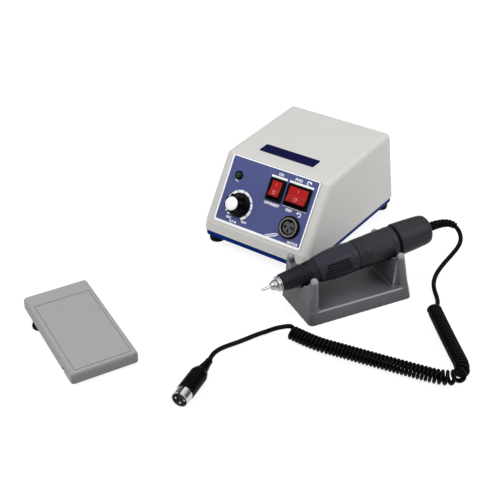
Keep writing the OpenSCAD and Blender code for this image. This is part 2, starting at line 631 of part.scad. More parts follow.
// Cradle: deck, four conical posts with round tops, and two end walls between them that run down in hollow
// flanks to the saddles under the handpiece
function curve(a, b, c, n) = [for (i = [0:n]) let (t = i / n, s = 1 - t)
    s * s * a + 2 * s * t * b + t * t * c];
function across(p) = [cradle_w - p[0], p[1]];
function sleeve_at(z) = sleeve_r0 + (sleeve_r1 - sleeve_r0) * z / sleeve_len;
function axis_z(x) = hp_z + (x - 40) * tan(hp_tilt);
post_in = post_foot + 0.5;
nose_wall = 2 * post_foot + 0.6;
nose_top = post_nose_h - post_round;
cord_top = post_cord_h - post_round;
cord_post = cradle_l - post_in;
cord_in = cord_post - cord_lean;
nose_saddle_r = sleeve_at(hp_ref + (nose_wall - 40) / cos(hp_tilt)) + rest;
cord_saddle_r = motor_r + rest;
nose_low = axis_z(post_in) - nose_saddle_r * 0.81;
cord_low = axis_z(cord_in) - cord_saddle_r * 0.82;
module end_wall(top, low, drop) {
    f = curve([post_in + 1, top], [post_in + 4.4, low + drop], [cradle_w / 2, low], 10);
    polygon(concat([[post_in, 0], [post_in, top]], f, [for (i = [9:-1:0]) across(f[i])],
        [[cradle_w - post_in, top], [cradle_w - post_in, 0]]));
}
module wall(top, low, drop, side) intersection() {
    rotate([90, 0, 90]) linear_extrude(cradle_l) end_wall(top, low, drop);
    translate([0, cradle_w, 0]) rotate([90, 0, 0]) linear_extrude(cradle_w) polygon(side);
}
module posts(x, top, lean) for (y = [post_in, cradle_w - post_in]) translate([x, y, 0])
    rotate([0, -atan2(lean, top), 0]) {
        long = norm([lean, top]);
        translate([0, 0, 1.5]) cylinder(r1 = post_foot, r2 = post_round, h = long - 1.5);
        translate([0, 0, long]) sphere(post_round);
    }
module cradle_deck() hull() for (y = [0, 1]) {
    c = cradle_corner;
    d = c + cradle_draft;
    e = cord_lean * deck_h / cord_top + cradle_draft;
    translate([c, y * (cradle_w - 2 * c) + c, 0]) cylinder(r = c, h = 0.1, $fn = 32);
    translate([cradle_l - c, y * (cradle_w - 2 * c) + c, 0]) cylinder(r = c, h = 0.1, $fn = 32);
    translate([d, y * (cradle_w - 2 * d) + d, deck_h - 0.1]) cylinder(r = c, h = 0.1, $fn = 32);
    translate([cradle_l - c - e, y * (cradle_w - 2 * d) + d, deck_h - 0.1])
        cylinder(r = c, h = 0.1, $fn = 32);
}
module cradle() color("gray") difference() {
    on_cradle() {
        cradle_deck();
        posts(post_in, nose_top, 0);
        posts(cord_post, cord_top, cord_lean);
        wall(nose_top, nose_low, 5, [[post_in - post_foot, 1], [post_in + post_foot, 1],
            [post_in + post_round - 0.3, nose_top], [post_in - post_round, nose_top]]);
        wall(cord_top, cord_low, 5.5, [[cord_in - post_foot - 0.8, 1], [cord_post + post_foot, 1],
            [cord_in + post_round, cord_top], [cord_in - post_round + 0.2, cord_top]]);
    }
    on_hp(-5) cylinder(r = nose_saddle_r, h = 40);
    on_hp(hp_ref + 30) cylinder(r = cord_saddle_r, h = 40);
    on_cradle() translate([3, 3, -1]) cube([cradle_l - 8, cradle_w - 6, deck_h - 1.5]);
}

// Handpiece shells
module nose_cap() color("silver") on_hp() rotate_extrude() polygon([
    [bearing_r, 0], [bearing_r, 3.8], [collet_r + 1.4, 3.8], [collet_r + 1.4, -3], [collet_r + 0.35, -3.6],
    [collet_r + 0.35, -8.2], [3.1, -8.2], [3.9, -6.2], [4.4, -6], [4.4, -3.4], [6, -3.2], [6.5, -2.7],
    [6.5, -1.4], [6, -1.2], [6, -0.9], [6.5, -0.7], [6.5, 0]]);
module front_sleeve() color("#34363c") on_hp() difference() {
    rotate_extrude() polygon([[bearing_r + fit, 0], [sleeve_r0 - 0.5, 0], [sleeve_r0, 0.6],
        [sleeve_r1, sleeve_len], [tube_r, sleeve_len], [tube_r, web_z], [bearing_r + fit, web_z]]);
    for (k = [0:5]) translate([0, 0, 11 + k * 2.6]) rotate_extrude()
        translate([sleeve_at(11 + k * 2.6) + 0.15, 0]) circle(0.5, $fn = 20);
}
ring_in = tube_r + run;
module chuck_ring() color("#383a40") on_hp(ring_z) difference() {
    rotate_extrude() polygon([[ring_in, 0], [sleeve_r1 + 0.1, 0], [sleeve_r1 + 0.5, 0.5],
        [ring_r - 0.4, ring_len * 0.36], [ring_r, ring_len * 0.62], [ring_r - 0.2, ring_len * 0.82],
        [ring_r - 0.6, ring_len - 0.6], [ring_r - 1, ring_len], [ring_in, ring_len]]);
    for (g = [0:3], k = [-2:2]) rotate(g * 90 + k * 11 + 20) translate([ring_r - 1.2, 0, ring_len * 0.2])
        rotate([0, 3.2, 0]) {
            translate([1, 0, 0]) cylinder(r = 0.9, h = ring_len * 0.62);
            translate([1, 0, ring_len * 0.62]) sphere(0.9);
        }
    for (z = [0.87, 0.92]) translate([0, 0, ring_len * z]) rotate_extrude()
        translate([ring_r - 0.25, 0]) circle(0.4, $fn = 20);
}
module motor_housing() color("#3c3e45") on_hp() difference() {
    rotate_extrude() polygon([[tube_r + fit, motor_z], [motor_r - 1.1, motor_z],
        [motor_r - 0.6, motor_z + 0.6], [motor_r - 0.5, motor_z + 7], [motor_r, motor_z + 18],
        [motor_r, motor_end - 5], [motor_r - 0.3, motor_end - 0.5], [motor_r - 0.8, motor_end],
        [motor_bore, motor_end], [motor_bore, web_z + web_t], [motor_brg_r + fit, web_z + web_t],
        [motor_brg_r + fit, web_z], [tube_r + fit, web_z]]);
    for (k = [0:2]) translate([0, 0, motor_z + 2.4 + k * 2]) rotate_extrude()
        translate([motor_r - 0.3, 0]) circle(0.45, $fn = 20);
    for (k = [0:7]) rotate(k * 45 + 10) translate([motor_r - 0.4, -2.8, motor_z + 11]) cube([2, 5.6, 21]);
}
module rear_cap() color("#3f4148") on_hp() rotate_extrude() polygon([
    [motor_bore, motor_end], [motor_r - 1.2, motor_end], [motor_r - 1.2, rear_z], [rear_r - 0.4, rear_z],
    [rear_r, rear_z + 0.4], [rear_r, rear_z + 19], [rear_r - 0.5, rear_z + 23.5],
    [rear_r - 1.5, rear_end - 4], [rear_r - 2.8, rear_end - 1.6], [rear_r - 5.2, rear_end],
    [boot_r + fit, rear_end], [boot_r + fit, rear_end - 3],
    [motor_bore - 2.5, rear_end - 3], [motor_bore, rear_end - 7]]);
// Boot: one sweep with its flange inside the cap, then the ribs
module cord_boot() color("black") {
    n = boot_ribs * 4;
    flange = [[-4.6, boot_r + 1.6], [-3.4, boot_r + 1.6], [-3.1, boot_r]];
    q = concat([for (f = flange) boot_start + f[0] * hp_dir], [for (i = [0:n]) bez(boot_route, i / n)]);
    r = concat([for (f = flange) f[1]],
        [for (i = [0:n]) boot_r + (boot_tip - boot_r) * i / n - (i % 4 > 1 ? 0.55 : 0)]);
    lay() tube(q, r, 12, [0.87, -0.49, 0]);
}

// Handpiece inside: bearings, magnets, brushes
brg_t = 5;
brg_a = 4;
brg_b = web_z - 14;
module spindle_bearings() color("lightsteelblue") for (z = [brg_a, brg_b]) on_hp(z)
    hollow(bearing_r, spindle_r + run, brg_t);
module motor_bearings() color("lightsteelblue") {
    on_hp(web_z + 0.2) hollow(motor_brg_r, motor_shaft_r + run, web_t - 0.4);
    on_hp(brush_z + brush_len + 2) hollow(motor_brg_r, motor_shaft_r + run, 4);
}
module field_magnets() color("dimgray") on_hp(magnet_z) difference() {
    hollow(motor_bore - fit, armature_r + 0.5, magnet_len);
    for (a = [0, 180]) rotate(a) translate([0, -2.5, -1]) cube([20, 5, magnet_len + 2]);
}
holder_r = motor_bore - fit;
module brush_holder() color("saddlebrown") on_hp(brush_z) difference() {
    rotate_extrude() polygon([[commutator_r + 1.2, 0], [holder_r, 0], [holder_r, brush_len + 6.2],
        [motor_brg_r + fit, brush_len + 6.2], [motor_brg_r + fit, brush_len + 2],
        [motor_shaft_r + 0.6, brush_len + 2], [motor_shaft_r + 0.6, brush_len + 0.6],
        [commutator_r + 1.2, brush_len + 0.6]]);
    for (a = [90, 270]) rotate(a) translate([0, -brush_w / 2 - fit, brush_len / 2 - brush_w / 2 - fit])
        cube([holder_r - 0.8, brush_w + 2 * fit, brush_w + 2 * fit]);
}
module carbon_brushes() color("#222222") on_hp(brush_z + brush_len / 2) for (a = [90, 270]) rotate(a)
    translate([commutator_r + 0.3, -brush_w / 2, -brush_w / 2]) cube([2.8, brush_w, brush_w]);
module brush_springs() color("gold") on_hp(brush_z + brush_len / 2) for (a = [90, 270]) rotate(a)
    translate([commutator_r + 3.15, 0, 0]) rotate([0, 90, 0])
        hollow(1.6, 1, holder_r - 0.85 - commutator_r - 3.2);

// Spindle line, all turning together
spin_a = 0.4;
spin_b = web_z - 6;
module spindle() color("silver") on_hp() rotate_extrude() polygon([
    [collet_r + run, spin_a], [spindle_r, spin_a], [spindle_r, spin_b], [0, spin_b], [0, spin_b - 3],
    [collet_r + run, spin_b - 3]]);
module drive_coupling() color("darkgoldenrod") on_hp(spin_b - 2) rotate_extrude() polygon([
    [spindle_r + fit, 0], [5.2, 0], [5.2, 6.6], [motor_shaft_r + fit, 6.6], [motor_shaft_r + fit, 2.05],
    [spindle_r + fit, 2.05]]);
module motor_shaft() color("silver") on_hp(spin_b + 0.2)
    cylinder(r = motor_shaft_r, h = brush_z + brush_len + 7 - spin_b);
module armature() color("chocolate") on_hp(magnet_z) difference() {
    cylinder(r = armature_r, h = magnet_len);
    translate([0, 0, -1]) cylinder(r = motor_shaft_r + fit, h = magnet_len + 2);
    for (k = [0:6]) rotate(k * 360 / 7) translate([armature_r - 0.4, 0, -1])
        cylinder(r = 1.1, h = magnet_len + 2);
}
module commutator() color("orange") on_hp(brush_z) difference() {
    hollow(commutator_r, motor_shaft_r + fit, brush_len);
    for (k = [0:6]) rotate(k * 360 / 7 + 12) translate([commutator_r - 0.5, -0.15, -1])
        cube([2, 0.3, brush_len + 2]);
}
// Collet with its draw bar and the tool move forward together when the chuck ring is twisted
collet_len = 20;
module collet() color("gray") on_hp() difference() {
    rotate_extrude() polygon([[tool_r + 0.01, -8.3], [collet_r - 0.1, -8.3], [collet_r, -7.8],
        [collet_r, spin_b - 6], [0, spin_b - 6], [0, collet_len - 8.3], [tool_r + 0.01, collet_len - 8.3]]);
    for (a = [0:2]) rotate(a * 120) translate([0.3, -0.2, -9]) cube([4, 0.4, 12]);
}
module tool() color("silver") on_hp(-8.3 - tool_out) rotate_extrude() polygon([
    [0, 0], [tool_r - 0.3, 0], [tool_r, 0.4], [tool_r, tool_out + 17], [0, tool_out + 17]]);

// Cord and plug
module cord_lead_handpiece() color("#161616") {
    q = concat(chain(lead_a, 7), [coil_start]);
    lay() tube(q, [for (p = q) cord_d / 2], 8, [0.87, -0.49, 0.1]);
}
module cord_curls() color("#161616") {
    n = 6;
    a = cord_d / 2;
    b = cord_flat / 2 / sin(60);
    body = [for (k = [0:curl_n]) let (e = min(k, curl_n - k) / 6, w = e >= 1 ? b : a + (b - a) * e)
        ring(curl_c[k], curl_u[k], cross(curl_t[k], curl_u[k]), a, w, n)];
    first = ring(coil_start, curl_u[0], cross(start_t, curl_u[0]), a, a, n);
    last = ring(coil_end, curl_u[curl_n], cross(end_t, curl_u[curl_n]), a, a, n);
    rings = concat([first], body, [last]);
    near = [for (i = [0:curl_n - 10]) min([for (j = [i + 6:i + 10], p = body[i], q = body[j]) norm(p - q)])];
    echo(least_gap_of_the_curls = min(near), pitch = coil_len / curls, coil_length = coil_len);
    lay() polyhedron(flat(rings), ring_faces(len(rings), n));
}
lead_b = concat(
    [[coil_end, coil_end + 6 * end_t, [73, -80, 3.2], [70, -84, 2.4]],
     [[70, -84, 2.4], [67, -88, 1.95], [65, -94, 1.95], [61, -104, 2]]], lead_b_mid);
module cord_lead_plug() color("#161616") {
    q = chain(lead_b, 9);
    lay() tube(q, [for (p = q) cord_d / 2], 8, [0, 0, 1]);
}
module plug_body() color("#1a1a1a") on_plug() rotate_extrude() polygon([
    [0, 0], [2.7, 0], [2.9, 0.6], [2.9, 3], [4.6, plug_len - 27], [5.6, plug_len - 26.6],
    [plug_r - 0.3, plug_len - 23.6], [plug_r, plug_len - 22.4], [plug_r, plug_len - 0.8],
    [plug_r - 0.3, plug_len], [0, plug_len]]);
module plug_shell() color("silver") on_plug(plug_len) difference() {
    hollow(shell_r, shell_r - shell_wall, shell_out);
    translate([0, shell_r, 3]) cube([1.6, 3, 20], center = true);
}
module plug_core() color("#141414") on_plug(plug_len)
    cylinder(r = shell_r - shell_wall - fit, h = shell_out - 4);
module plug_pins() color("lightgray") on_plug(plug_len + shell_out - 4) for (a = [0, 90, 180]) rotate(a + 180)
    translate([contact_pcr, 0, 0]) cylinder(r = 0.75, h = 3.2);

// Foot pedal
tread_up = ped_skirt - 1.9;
plate_z = ped_foot_h;
plate_t = 2.2;
ear_x = ped_wall + 0.4;
ped_feet = [[11.5, 13], [ped_w - 11.5, 13], [7, ped_l - 21.7], [ped_w - 7, ped_l - 21.7]];
switch_y = hinge_y + 37.6;
spring_y = hinge_y + 57.6;
// Underside of the tread over a point of the base
function under(y) = hinge_z + (y - hinge_y) * tan(ped_pitch) + (tread_up - 2.4) / cos(ped_pitch);
module tread_shape() translate([ped_w / 2, ped_l / 2, tread_up - ped_skirt]) hull()
    for (x = [-1, 1], y = [-1, 1], l = [[0, 3], [0.3, 1.7], [1, 0.7], [2.3, 0]])
        translate([x * (ped_w / 2 - ped_corner), y * (ped_l / 2 - ped_corner), 0])
            cylinder(r = ped_corner - l[0], h = ped_skirt - l[1], $fn = 32);
module pedal_tread() color("darkgray") on_tread() difference() {
    tread_shape();
    translate([ped_w / 2, ped_l / 2, tread_up - ped_skirt - 1]) linear_extrude(ped_skirt - 1.4)
        round_rect(ped_w - 2 * ped_wall, ped_l - 2 * ped_wall, 0.6);
    translate([-1, hinge_y, 0]) rotate([0, 90, 0]) cylinder(r = hinge_r + run, h = ped_w + 2);
    translate([-1, hinge_y - hinge_r + 0.1, -ped_skirt]) cube([ped_w + 2, 2 * hinge_r - 0.2, ped_skirt]);
    translate([ped_w / 2, ped_l - 8, tread_up - ped_skirt]) rotate([-90, 0, 0]) cylinder(r = 2.6, h = 20);
    translate([ped_w / 2, ped_l / 2 - 6, tread_up - 0.4]) linear_extrude(2) difference() {
        round_rect(ped_w - 8, ped_l - 20, 1.5);
        round_rect(ped_w - 9.2, ped_l - 21.2, 1);
    }
}
module pedal_base() color("#3a3c3e") on_pedal() difference() {
    union() {
        translate([0, 0, plate_z]) linear_extrude(plate_t) {
            translate([13, 8]) square([ped_w - 26, ped_l - 14]);
            translate([ear_x, 9]) square([ped_w - 2 * ear_x, 17]);
            for (f = ped_feet) translate(f) circle(4.2);
            translate([7, ped_l - 25.7]) square([ped_w - 14, 8]);
        }
        for (x = [ear_x, ped_w - ear_x - 4]) translate([x, hinge_y - 3.2, plate_z])
            cube([4, 6.4, hinge_z + 2.8 - plate_z]);
    }
    translate([-1, hinge_y, hinge_z]) rotate([0, 90, 0]) cylinder(r = hinge_r + 0.01, h = ped_w + 2);
}
module pedal_feet() color("#202020") on_pedal() for (f = ped_feet) translate(f) rotate_extrude()
    polygon([[0, 0], [7, 0], [8, 0.6], [7.6, ped_foot_h], [0, ped_foot_h]]);
module pedal_pin() color("silver") on_pedal() translate([0.3, hinge_y, hinge_z]) rotate([0, 90, 0])
    cylinder(r = hinge_r, h = ped_w - 0.6);
plunger_r = 1.5;
switch_top = under(switch_y) - 2.6;
module pedal_switch() color("#22262c") on_pedal() translate([ped_w / 2, switch_y, 0]) difference() {
    translate([-10, -5, plate_z + plate_t]) cube([20, 10, switch_top - plate_z - plate_t]);
    translate([0, 0, plate_z + plate_t + 0.5]) cylinder(r = plunger_r + run, h = 20);
}
module pedal_plunger() color("firebrick") on_pedal()
    translate([ped_w / 2, switch_y, under(switch_y) - rest - 4]) cylinder(r = plunger_r, h = 4);
// Return spring: a helix that stands on the base and carries the tread
spring_r = 4.5;
spring_wire = 1;
spring_turns = 5;
module pedal_spring() color("silver") {
    z0 = plate_z + plate_t + spring_wire / 2 + 0.05;
    z1 = under(spring_y - spring_r - 1) - rest - spring_wire / 2;
    m = spring_turns * 8;
    c = [for (k = [0:m]) [spring_r * cos(45 * k), spring_r * sin(45 * k),
        z0 + (z1 - z0) * min(1, max(0, (k - 8) / (m - 16)))] + [ped_w / 2, spring_y, 0]
        + (k <= 8 ? [0, 0, 0.012 * k] : k >= m - 8 ? [0, 0, 0.012 * (k - m)] : [0, 0, 0])];
    rings = [for (k = [0:m]) let (u = [cos(45 * k), sin(45 * k), 0], t = heading(c, k))
        ring(c[k], u, cross(t, u), spring_wire / 2, spring_wire / 2, 6)];
    on_pedal() polyhedron(flat(rings), ring_faces(m + 1, 6));
}

cover();
base_tray();
rubber_feet();
base_screws();
panel_overlay();
lamp_bezel();
pilot_lamp();
power_switch();
direction_switch();
power_rocker();
direction_rocker();
motor_socket();
socket_core();
speed_control();
control_nut();
control_shaft();
speed_knob();
knob_cap();
transformer_core();
transformer_winding();
circuit_board();
board_parts();
mains_bush();
fuse_holder();
pedal_jack();
cradle();
nose_cap();
front_sleeve();
chuck_ring();
motor_housing();
rear_cap();
cord_boot();
spindle_bearings();
motor_bearings();
field_magnets();
brush_holder();
carbon_brushes();
brush_springs();
spindle();
drive_coupling();
motor_shaft();
armature();
commutator();
collet();
tool();
cord_lead_handpiece();
cord_curls();
cord_lead_plug();
plug_body();
plug_shell();
plug_core();
plug_pins();
pedal_tread();
pedal_base();
pedal_feet();
pedal_pin();
pedal_switch();
pedal_plunger();
pedal_spring();
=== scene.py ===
"""Looks of a dental laboratory micromotor set: control unit, handpiece on its cradle, curly cord and pedal."""

import json
import math

import bmesh
import bpy
import numpy as np
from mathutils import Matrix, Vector


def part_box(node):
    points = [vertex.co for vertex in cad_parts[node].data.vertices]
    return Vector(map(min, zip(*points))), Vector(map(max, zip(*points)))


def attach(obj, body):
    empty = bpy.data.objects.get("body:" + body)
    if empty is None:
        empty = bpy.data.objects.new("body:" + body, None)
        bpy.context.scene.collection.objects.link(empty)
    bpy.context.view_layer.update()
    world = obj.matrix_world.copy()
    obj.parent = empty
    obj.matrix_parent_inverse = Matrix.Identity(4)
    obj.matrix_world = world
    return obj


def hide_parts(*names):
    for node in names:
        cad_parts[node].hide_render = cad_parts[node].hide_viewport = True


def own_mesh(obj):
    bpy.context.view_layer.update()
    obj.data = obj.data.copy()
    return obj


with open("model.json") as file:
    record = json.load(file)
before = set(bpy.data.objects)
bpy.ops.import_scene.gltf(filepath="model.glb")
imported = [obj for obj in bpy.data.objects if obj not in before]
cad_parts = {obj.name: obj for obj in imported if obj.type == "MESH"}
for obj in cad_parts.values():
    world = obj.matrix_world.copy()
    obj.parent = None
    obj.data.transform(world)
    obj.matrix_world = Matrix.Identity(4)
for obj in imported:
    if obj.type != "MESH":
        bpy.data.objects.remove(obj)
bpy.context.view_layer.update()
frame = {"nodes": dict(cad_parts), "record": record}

bl_info = {
    "name": "Micromotor set finish",
    "version": (1, 0, 0),
    "blender": (4, 5, 0),
    "location": "3D View > Sidebar > Micromotor",
    "description": "Builds the visible finish of a laboratory micromotor set on its packed solids",
    "category": "Object",
}

MM = 0.001
BODY_OF = {n: b for b, ns in frame["record"]["behaviour"]["bodies"].items() for n in ns}


def tone(red, green, blue):
    """A screen colour, 0 to 255, as linear light: the power curve of the screen undone."""
    c = np.array([red, green, blue], float) / 255
    return tuple(float(x) for x in np.where(c <= 0.04045, c / 12.92, ((c + 0.055) / 1.055) ** 2.4))


# Places, in millimetres in the frame of the solids
PANEL_O = np.array([-23.56, 30.73, 20.9])
PANEL_LEAN = math.radians(31.8)
PANEL_X = np.array([1.0, 0.0, 0.0])
PANEL_S = np.array([0.0, math.sin(PANEL_LEAN), math.cos(PANEL_LEAN)])
PANEL_N = np.array([0.0, -math.cos(PANEL_LEAN), math.sin(PANEL_LEAN)])
LAY = np.array([23.56, -29.33, 0.0])
HAND_O = np.array([68.109, 21.637, 37.55])
HAND_AXIS = np.array([0.487041, 0.866125, 0.112336])
HAND_REF = 54.7
HAND_END = 138.4
HAND_UP = np.array([0.0, 0.0, 1.0]) - HAND_AXIS[2] * HAND_AXIS
CRADLE_O = np.array([71.34, -26.07, 0.0])
CRADLE_YAW = math.radians(60.65)


def on_panel(us, h):
    """Points of the sloping panel: pairs of u across and s up the slope, and h out of it, all in millimetres."""
    us, h = np.asarray(us, float), np.asarray(h, float)
    return PANEL_O + us[..., :1] * PANEL_X + us[..., 1:] * PANEL_S + h[..., None] * PANEL_N


# Property groups: what a user would change


def colour_property(name, description, *screen):
    """A colour, given as a screen colour."""
    return bpy.props.FloatVectorProperty(name=name, description=description, subtype="COLOR", default=tone(*screen))


def length_property(name, description, metres):
    """A length."""
    return bpy.props.FloatProperty(name=name, description=description, default=metres, unit="LENGTH")


def count_property(name, description, count):
    """A whole number."""
    return bpy.props.IntProperty(name=name, description=description, default=count)


def power_property(name, description, watts):
    """A lamp's power."""
    return bpy.props.FloatProperty(name=name, description=description, default=watts, unit="POWER")


class CordLooks(bpy.types.PropertyGroup):
    """Sizes and colour of the curly cord."""

    diameter: length_property("Diameter", "Diameter of the cord", 0.0038)
    flat: length_property("Pressed width", "Width of the cord along the coil", 0.0028)
    coil: length_property("Coil", "Outer diameter of the coil", 0.012)
    curls: bpy.props.FloatProperty(name="Curls", description="Turns in the coil", default=68.5)
    rings: count_property("Rings", "Rings of points in one curl", 24)
    sides: count_property("Sides", "Points round the cord", 14)
    colour: colour_property("Cord colour", "Colour of the cord", 3, 3, 4)


class CaseLooks(bpy.types.PropertyGroup):
    """Colours of the control unit's case."""

    cover: colour_property("Cover", "Colour of the cover", 206, 204, 201)
    tray: colour_property("Tray", "Colour of the base tray", 2, 40, 118)
    feet: colour_property("Feet", "Colour of the rubber feet", 5, 5, 6)
    badge: colour_property("Badge", "Colour of the bare badge plate", 7, 9, 60)
    edge: length_property("Edge", "Softening of the cover's edges", 0.0011)


class PanelLooks(bpy.types.PropertyGroup):
    """Colours and print of the sloping panel."""

    film: colour_property("Film", "Colour of the overlay", 80, 88, 139)
    ink: colour_property("Ink", "Colour of the print", 253, 253, 254)
    border: length_property("Border", "Width of the white border", 0.0016)
    rocker: colour_property("Rockers", "Colour of the rockers", 174, 28, 29)
    lobes: count_property("Lobes", "Lobes round the speed knob", 8)
    lamp: colour_property("Lamp", "Colour of the pilot lamp", 3, 52, 30)


class HandLooks(bpy.types.PropertyGroup):
    """Colours of the handpiece and its cradle."""

    shell: colour_property("Chuck ring", "Colour of the chuck ring", 42, 43, 53)
    sleeve: colour_property("Sleeve", "Colour of the front sleeve", 25, 27, 33)
    motor: colour_property("Motor", "Colour of the motor's shells", 43, 44, 48)
    rib_depth: length_property("Rib depth", "Depth of the grooves in the chuck ring", 0.0013)
    cradle: colour_property("Cradle", "Colour of the cradle", 94, 96, 100)
    cradle_cell: length_property("Cradle cell", "Cell of the cradle's softened surface", 0.0006)
    cradle_passes: count_property("Cradle passes", "How often the cradle's surface is relaxed", 4)


class PedalLooks(bpy.types.PropertyGroup):
    """Colours of the foot pedal."""

    tread: colour_property("Tread", "Colour of the tread", 158, 156, 156)
    base: colour_property("Base", "Colour of the base", 30, 30, 32)


class StageLooks(bpy.types.PropertyGroup):
    """Camera, floor and lamps."""

    lens: bpy.props.FloatProperty(
        name="Lens", description="Focal length of the camera in millimetres", default=72.76)
    eye: bpy.props.FloatVectorProperty(
        name="Eye", description="Place of the camera", subtype="XYZ", default=(0.40744, -0.58297, 0.4945))
    aim: bpy.props.FloatVectorProperty(
        name="Aim", description="Point that the camera looks at", subtype="XYZ",
        default=(0.00114, -0.01047, 0.04))
    floor: bpy.props.FloatVectorProperty(
        name="Floor", description="Light that the floor throws back", subtype="COLOR", default=(0.42, 0.42, 0.42))
    sky: bpy.props.FloatProperty(name="Sky", description="Strength of the even light", default=0.68)
    key: power_property("Key", "Power of the main lamp", 10.0)
    fill: power_property("Fill", "Power of the side lamp", 10.0)


# Meshes from whole arrays


def grid_faces(rows, columns, close_rows=False, close_columns=False):
    """Quads over a grid of points: each joins a point, the next row and the next column."""
    i = np.arange(rows if close_rows else rows - 1)
    j = np.arange(columns if close_columns else columns - 1)
    a, b = np.meshgrid(i, j, indexing="ij")
    a2, b2 = (a + 1) % rows, (b + 1) % columns
    return np.stack([a * columns + b, a2 * columns + b, a2 * columns + b2, a * columns + b2], -1).reshape(-1, 4)


def mesh_of(name, points, faces):
    """A mesh from points in metres and faces."""
    mesh = bpy.data.meshes.new(name)
    mesh.from_pydata(np.asarray(points, float).reshape(-1, 3).tolist(), [], [list(map(int, f)) for f in faces])
    return mesh


def placed(name, data):
    """An object at the origin of the scene."""
    obj = bpy.data.objects.new(name, data)
    bpy.context.scene.collection.objects.link(obj)
    return obj


def painted(mesh, material):
    """Gives a mesh one material."""
    mesh.materials.clear()
    mesh.materials.append(material)


def piece(name, points, faces, body, material, smooth=True):
    """A mesh object at the origin from points in metres and faces, riding on a body."""
    mesh = mesh_of(name, points, faces)
    mesh.validate()
    mesh.polygons.foreach_set("use_smooth", np.full(len(mesh.polygons), smooth))
    painted(mesh, material)
    obj = placed(name, mesh)
    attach(obj, body)
    return obj


def swept(path, across, along_up, section):
    """Points of a profile carried along a path: each ring is the path point plus the section's two sizes
    along the two directions across it. Section holds (rings, sides, 2)."""
    return path[:, None, :] + section[..., :1] * across[:, None, :] + section[..., 1:] * along_up[:, None, :]


def rays(degrees):
    """Directions of length one at some angles: their cosine and sine."""
    a = np.radians(degrees)
    return np.stack([np.cos(a), np.sin(a)], -1)


def circle(sides):
    """Directions of length one at even angles all round."""
    return rays(np.linspace(0, 360, sides, endpoint=False))


def tube_faces(rings, sides):
    """Quads along a tube whose two ends are closed by one face each."""
    quads = grid_faces(rings, sides, close_columns=True).tolist()
    return quads + [list(range(sides))] + [list(range(rings * sides - 1, (rings - 1) * sides - 1, -1))]


def turned(profile, origin, axis, start, sides=64):
    """A profile of (radius, height) turned round an axis: radius times cosine and sine in the plane across
    the axis, plus height along it. All in millimetres; the result is in metres."""
    ring = circle(sides) @ np.stack([start, np.cross(axis, start)])
    p = np.asarray(profile, float)
    return (origin + p[:, None, :1] * ring[None] + p[:, None, 1:] * axis) * MM


def round_outline(width, length, radius, count=12):
    """Closed outline of a rectangle with round corners: each corner is a quarter circle about its centre."""
    a = np.linspace(0, math.pi / 2, count)
    quarter = np.arange(4) * math.pi / 2
    sx, sy = np.array([1, -1, -1, 1]), np.array([1, 1, -1, -1])
    ang = quarter[:, None] + a[None]
    x = sx[:, None] * (width / 2 - radius) + radius * np.cos(ang)
    y = sy[:, None] * (length / 2 - radius) + radius * np.sin(ang)
    return np.stack([x.ravel(), y.ravel()], -1)


def smooth_step(x):
    """Zero below 0, one above 1 and the cubic 3x^2 - 2x^3 between."""
    x = np.clip(x, 0, 1)
    return x * x * (3 - 2 * x)


def groove(offset, width):
    """Depth of a round groove, one on its line: the root of one less the square of offset over width."""
    return np.sqrt(np.clip(1 - (offset / width) ** 2, 0, 1))


def merged_copy(node, material, flat=None, added=()):
    """A copy of a solid's mesh in its place, with doubled points merged and added meshes put in. Neighbours that
    meet within the flat angle, in degrees, are joined."""
    mesh = frame["nodes"][node].data.copy()
    mesh.name = node + "_moulded"
    bm = bmesh.new()
    bm.from_mesh(mesh)
    bmesh.ops.remove_doubles(bm, verts=bm.verts, dist=2e-6)
    if flat is not None:
        bmesh.ops.dissolve_limit(bm, angle_limit=math.radians(flat), verts=bm.verts, edges=bm.edges)
    for extra in added:
        bm.from_mesh(extra)
        bpy.data.meshes.remove(extra)
    bm.to_mesh(mesh)
    bm.free()
    painted(mesh, material)
    obj = placed(node + "_moulded", mesh)
    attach(obj, BODY_OF[node])
    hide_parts(node)
    return obj


def modifier(obj, name, kind, **settings):
    """A modifier with its settings."""
    added = obj.modifiers.new(name, kind)
    for key, value in settings.items():
        setattr(added, key, value)


def smooth_copy(node, material, edge, angle=30.0, steps=3):
    """A merged copy of a solid's mesh with its edges softened: flat neighbours are joined, every edge
    sharper than the angle is rounded to the edge width, and normals lean to the larger faces."""
    obj = merged_copy(node, material, flat=0.4)
    obj.data.polygons.foreach_set("use_smooth", np.full(len(obj.data.polygons), True))
    obj.data.set_sharp_from_angle(angle=math.radians(angle))
    modifier(obj, "soft_edges", "BEVEL", width=edge, segments=steps, limit_method="ANGLE",
             angle_limit=math.radians(angle), use_clamp_overlap=True)
    modifier(obj, "large_faces", "WEIGHTED_NORMAL", keep_sharp=True)


def soft_copy(node, material, cell, passes, added):
    """A merged copy of a solid's mesh, with added meshes, laid out again in small even cells and relaxed, so that
    every edge and inner corner turns soft over about the cell size times the root of the passes."""
    obj = merged_copy(node, material, added=added)
    modifier(obj, "even_cells", "REMESH", mode="VOXEL", voxel_size=cell, use_smooth_shade=True)
    modifier(obj, "relaxed", "SMOOTH", factor=0.5, iterations=passes)


def dress(nodes, material):
    """Gives the solids that are named in a line, and stay on show, their finish."""
    for node in nodes.split():
        painted(frame["nodes"][node].data, material)


# Finishes


def add_node(tree, kind, values=None, **settings):
    """One shader node with its settings and the values of its sockets."""
    node = tree.nodes.new(kind)
    for key, value in settings.items():
        setattr(node, key, value)
    for key, value in (values or {}).items():
        node.inputs[key].default_value = value
    return node


def empty_tree(owner):
    """The cleared node tree of a material or a world."""
    owner.use_nodes = True
    owner.node_tree.nodes.clear()
    return owner.node_tree


def fed(tree, kind, sources, **settings):
    """First output of a new shader node whose first inputs take the sources."""
    node = add_node(tree, kind, **settings)
    for k, source in enumerate(sources):
        tree.links.new(source, node.inputs[k])
    return node.outputs[0]


